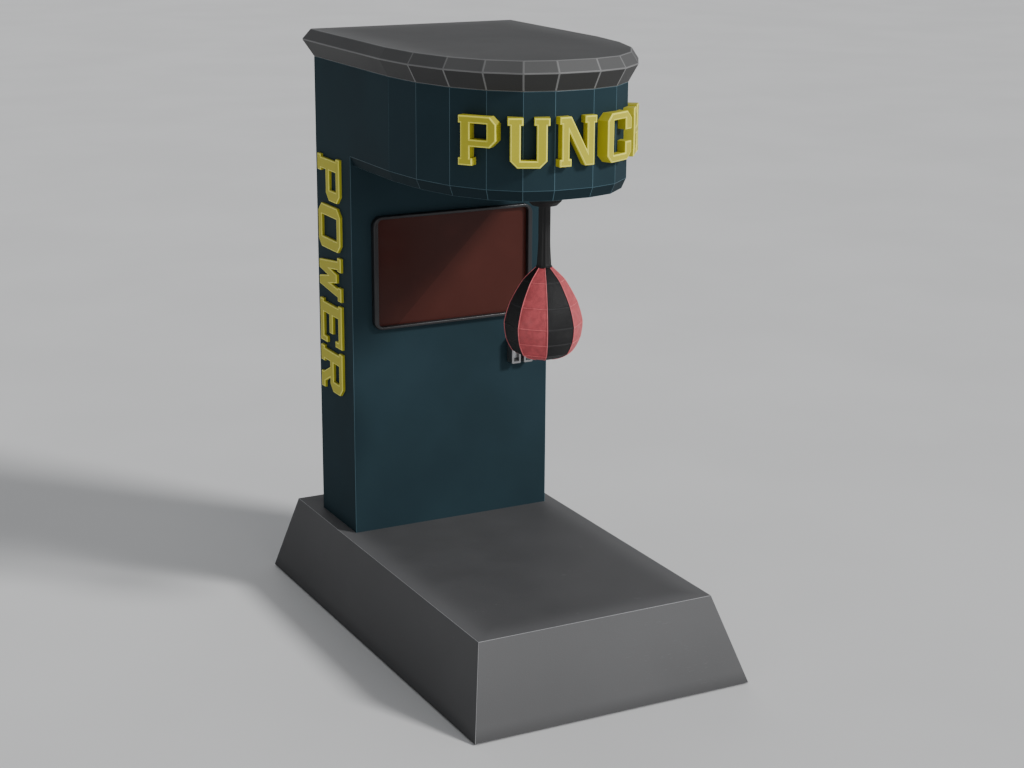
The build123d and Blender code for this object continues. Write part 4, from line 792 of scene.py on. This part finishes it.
# %% One node tree that sews
def sewing_tree():
    """Stitches along the curves of an object: pitch, length and thickness are its inputs."""
    tree = bpy.data.node_groups.new("sewing", "GeometryNodeTree")
    tree.interface.new_socket("Lines", in_out="INPUT", socket_type="NodeSocketGeometry")
    for label, value in (("Pitch", 0.007), ("Stitch length", 0.0046), ("Thread radius", 0.00055)):
        socket = tree.interface.new_socket(label, in_out="INPUT", socket_type="NodeSocketFloat")
        socket.default_value = value
    tree.interface.new_socket("Thread", in_out="INPUT", socket_type="NodeSocketMaterial")
    tree.interface.new_socket("Stitches", in_out="OUTPUT", socket_type="NodeSocketGeometry")
    add = tree.nodes.new
    link = tree.links.new
    given = add("NodeGroupInput")
    result = add("NodeGroupOutput")
    points = add("GeometryNodeCurveToPoints")
    points.mode = "LENGTH"
    link(given.outputs["Lines"], points.inputs["Curve"])
    link(given.outputs["Pitch"], points.inputs["Length"])
    capsule = add("GeometryNodeMeshUVSphere")
    capsule.inputs["Segments"].default_value = 6
    capsule.inputs["Rings"].default_value = 5
    capsule.inputs["Radius"].default_value = 1.0
    halved = add("ShaderNodeMath")
    halved.operation = "MULTIPLY"
    halved.inputs[1].default_value = 0.5
    link(given.outputs["Stitch length"], halved.inputs[0])
    size = add("ShaderNodeCombineXYZ")
    link(given.outputs["Thread radius"], size.inputs["X"])
    link(given.outputs["Thread radius"], size.inputs["Y"])
    link(halved.outputs[0], size.inputs["Z"])
    stretched = add("GeometryNodeTransform")
    link(capsule.outputs["Mesh"], stretched.inputs["Geometry"])
    link(size.outputs[0], stretched.inputs["Scale"])
    turn = add("FunctionNodeAlignRotationToVector")
    turn.axis = "Z"
    link(points.outputs["Tangent"], turn.inputs["Vector"])
    instances = add("GeometryNodeInstanceOnPoints")
    link(points.outputs["Points"], instances.inputs["Points"])
    link(stretched.outputs["Geometry"], instances.inputs["Instance"])
    link(turn.outputs["Rotation"], instances.inputs["Rotation"])
    real = add("GeometryNodeRealizeInstances")
    link(instances.outputs["Instances"], real.inputs["Geometry"])
    coloured = add("GeometryNodeSetMaterial")
    link(real.outputs["Geometry"], coloured.inputs["Geometry"])
    link(given.outputs["Thread"], coloured.inputs["Material"])
    link(coloured.outputs["Geometry"], result.inputs["Stitches"])
    return tree


def set_inputs(modifier, values):
    """Sets a node tree's inputs by the identifiers of their sockets."""
    for item in modifier.node_group.interface.items_tree:
        if item.item_type == "SOCKET" and item.in_out == "INPUT" and item.name in values:
            modifier[item.identifier] = values[item.name]


def made_plain(obj, name):
    """A plain mesh object from what an object's modifiers give; the first object is removed."""
    graph = bpy.context.evaluated_depsgraph_get()
    mesh = bpy.data.meshes.new_from_object(obj.evaluated_get(graph))
    mesh.name = name
    bpy.data.objects.remove(obj)
    return linked(name, mesh)


def rides_on_the_bag(piece):
    """Smooths a piece of the bag's trim and joins it to the arm's body."""
    shade_smooth(piece.data)
    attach(piece, "bag_arm")
    print(piece.name, len(piece.data.polygons), "faces")


sewing = sewing_tree()


def sewn(name, lines, material):
    """A piece of stitches along some lines."""
    base = curves_from(name + "_lines", lines)
    modifier = base.modifiers.new("sewing", "NODES")
    modifier.node_group = sewing
    set_inputs(modifier, {"Thread": material})
    rides_on_the_bag(made_plain(base, name))


sewn("red_gore_stitches", stitch_lines(red_gores), red_thread)
sewn("black_gore_stitches", stitch_lines(black_gores), black_thread)

# %% Piping in the seams
def piped(name, lines, radius, material, closed=False):
    """A piece of round piping along some lines."""
    base = curves_from(name + "_lines", lines, closed)
    base.data.bevel_depth = radius
    base.data.bevel_resolution = 2
    base.data.use_fill_caps = not closed
    piece = made_plain(base, name)
    dress(piece, material)
    rides_on_the_bag(piece)


rows_unpiped = 3
down_lines = [seam_line(gore * columns_per_gore, 0, 0, rows - rows_unpiped, piping_lift)
              for gore in range(gore_count)]
piped("gore_piping", down_lines, 0.0016, highlit_red_piping)
for piece_name, gores, radius, material in (("red_cross_piping", red_gores, 0.0013, highlit_red_piping),
                                            ("black_cross_piping", black_gores, 0.0012, highlit_black_piping)):
    across_lines = [cross_line(gore, row, 0, 0.0) for gore in gores for row in seam_rows]
    piped(piece_name, across_lines, radius, material)
piped("neck_binding", [bag_points[:columns]], 0.0035, black_hide, closed=True)

finer = bag.modifiers.new("finer", "SUBSURF")
finer.levels = 1
finer.render_levels = 1
bag = made_plain(bag, "bag_cover")
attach(bag, "bag_arm")
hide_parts("punch_bag")
print("bag cover", len(bag.data.polygons), "faces")

# %% [markdown]
# ## Fluted sleeve
# The steel arm wears a rubber sleeve so that a missed punch does no harm. It is moulded with shallow
# flutes and flares into the neck of the bag, so it is lofted ring by ring from a formula.

# %% Loft the sleeve
sleeve_low, sleeve_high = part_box("arm_sleeve")
sleeve_flare = (sleeve_high.x - sleeve_low.x) / 2
sleeve_axis = (sleeve_low + sleeve_high) / 2
arm_radius = (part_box("swing_arm")[1].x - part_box("swing_arm")[0].x) / 2
plain_share = 0.81             # straight part's radius, as a share of the flare's
flare_share = 93.0 / 217.0     # height of the flare, as a share of the sleeve's
flutes = 10
around = flutes * 10
flute_depth = 0.0024
flare_curve = 1.4              # powers that shape the flare and round the flutes
flute_curve = 0.6
flute_fade = 0.04              # share of the height over which the flutes run out at each end
sleeve_rings = 40


def sleeve_radius(share, turn):
    """Outer radius at a share of the height from the bag up, and at an angle."""
    flare = max(0.0, 1 - share / flare_share)
    plain = sleeve_flare * (plain_share + (1 - plain_share) * flare ** flare_curve)
    fade = min(1.0, share / flute_fade, (1 - share) / flute_fade)
    return plain - flute_depth * fade * (0.5 - 0.5 * math.cos(flutes * turn)) ** flute_curve


sleeve_shape = bmesh.new()
turns = [2 * math.pi * k / around for k in range(around)]


def sleeve_ring(z, radii):
    """A ring of points at a height, with a radius for each angle."""
    return [sleeve_shape.verts.new((sleeve_axis.x + radius * math.cos(turn),
                                    sleeve_axis.y + radius * math.sin(turn), z))
            for turn, radius in zip(turns, radii)]


rings = []
for step in range(sleeve_rings + 1):
    share = step / sleeve_rings
    z = sleeve_low.z + share * (sleeve_high.z - sleeve_low.z)
    rings.append(sleeve_ring(z, [sleeve_radius(share, turn) for turn in turns]))
inner = [sleeve_ring(z, [arm_radius] * around) for z in (sleeve_high.z, sleeve_low.z)]
loop = rings + inner + [rings[0]]
for low_ring, high_ring in zip(loop, loop[1:]):
    for k in range(around):
        after = (k + 1) % around
        sleeve_shape.faces.new((low_ring[k], low_ring[after], high_ring[after], high_ring[k]))
bmesh.ops.recalc_face_normals(sleeve_shape, faces=sleeve_shape.faces)
sleeve_mesh = bpy.data.meshes.new("fluted_sleeve")
sleeve_shape.to_mesh(sleeve_mesh)
sleeve_shape.free()
sleeve = linked("fluted_sleeve", sleeve_mesh)
dress(sleeve, finishes["rubber"])
shade_smooth(sleeve_mesh)
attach(sleeve, "bag_arm")
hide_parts("arm_sleeve")
print("sleeve", len(sleeve_mesh.polygons), "faces")

# %% [markdown]
# ## Floor, lights and camera
# The floor and the surround are pale. One broad key light from the front right and above leaves the left
# side in shade, a weak low fill reaches in under the head, and a weak lamp from behind keeps the service
# side readable. The surround lights the object less than it seems to, so the shade stays dark. Distant lamps
# keep the floor evenly bright. The camera stands at the front left, a little above the head, and looks
# slightly down.

# %% Stage
floor_size = 400.0
bpy.ops.mesh.primitive_plane_add(size=floor_size, location=(0, 0, 0))
floor = bpy.context.object
floor.name = "floor"
floor_finish = Finish("pale_floor", {"Roughness": 0.7})
floor_finish.feed("Base Color", floor_finish.mix(floor_finish.noise(0.7, 3.0).step(0.3, 0.7),
                                                 (0.80, 0.80, 0.80, 1.0), (0.84, 0.84, 0.84, 1.0)))
dress(floor, floor_finish.material)

world = bpy.data.worlds.new("surround")
bpy.context.scene.world = world
world.use_nodes = True
surround_light = 0.32          # what it gives the object
surround_seen = 0.62           # what it looks like behind the floor
background = world.node_tree.nodes["Background"]
background.inputs["Color"].default_value = (0.86, 0.88, 0.91, 1.0)
seen = world.node_tree.nodes.new("ShaderNodeLightPath")
strength = world.node_tree.nodes.new("ShaderNodeMapRange")
strength.inputs["To Min"].default_value = surround_light
strength.inputs["To Max"].default_value = surround_seen
world.node_tree.links.new(seen.outputs["Is Camera Ray"], strength.inputs["Value"])
world.node_tree.links.new(strength.outputs["Result"], background.inputs["Strength"])


def direction(turn, rise):
    """Towards an angle round from the front and above the floor, in degrees."""
    side, height = math.radians(turn), math.radians(rise)
    return Vector((math.sin(side) * math.cos(height), -math.cos(side) * math.cos(height), math.sin(height)))


def sun(name, turn, rise, spread, strength):
    """A broad distant lamp at an angle round from the front and above the floor, in degrees."""
    data = bpy.data.lights.new(name, "SUN")
    data.angle = math.radians(spread)
    data.energy = strength
    obj = linked(name, data)
    obj.rotation_euler = direction(turn, rise).to_track_quat("Z", "Y").to_euler()
    return obj


sun("key", turn=38.0, rise=34.0, spread=10.0, strength=2.5)
sun("fill", turn=4.0, rise=6.0, spread=40.0, strength=0.7)
rear_lamp = sun("rear", turn=168.0, rise=16.0, spread=40.0, strength=0.7)
rear_lamp.visible_glossy = False    # or it would glare off the top of the cap

# %% Camera
camera_turn = -27.62           # degrees, as for the lamps
camera_rise = 15.96
camera_roll = 0.36
camera_distance = 6.942
look_at = Vector((-0.0911, -0.3065, 1.033))
back = direction(camera_turn, camera_rise)
camera_data = bpy.data.cameras.new("camera")
camera_data.lens = 68.9
camera_data.sensor_width = 36.0
camera = linked("camera", camera_data)
camera.rotation_euler = (back.to_track_quat("Z", "Y").to_matrix()
                         @ Matrix.Rotation(math.radians(camera_roll), 3, "Z")).to_euler()
camera.location = look_at + back * camera_distance
bpy.context.scene.camera = camera
print("camera at", [round(value, 3) for value in camera.location])
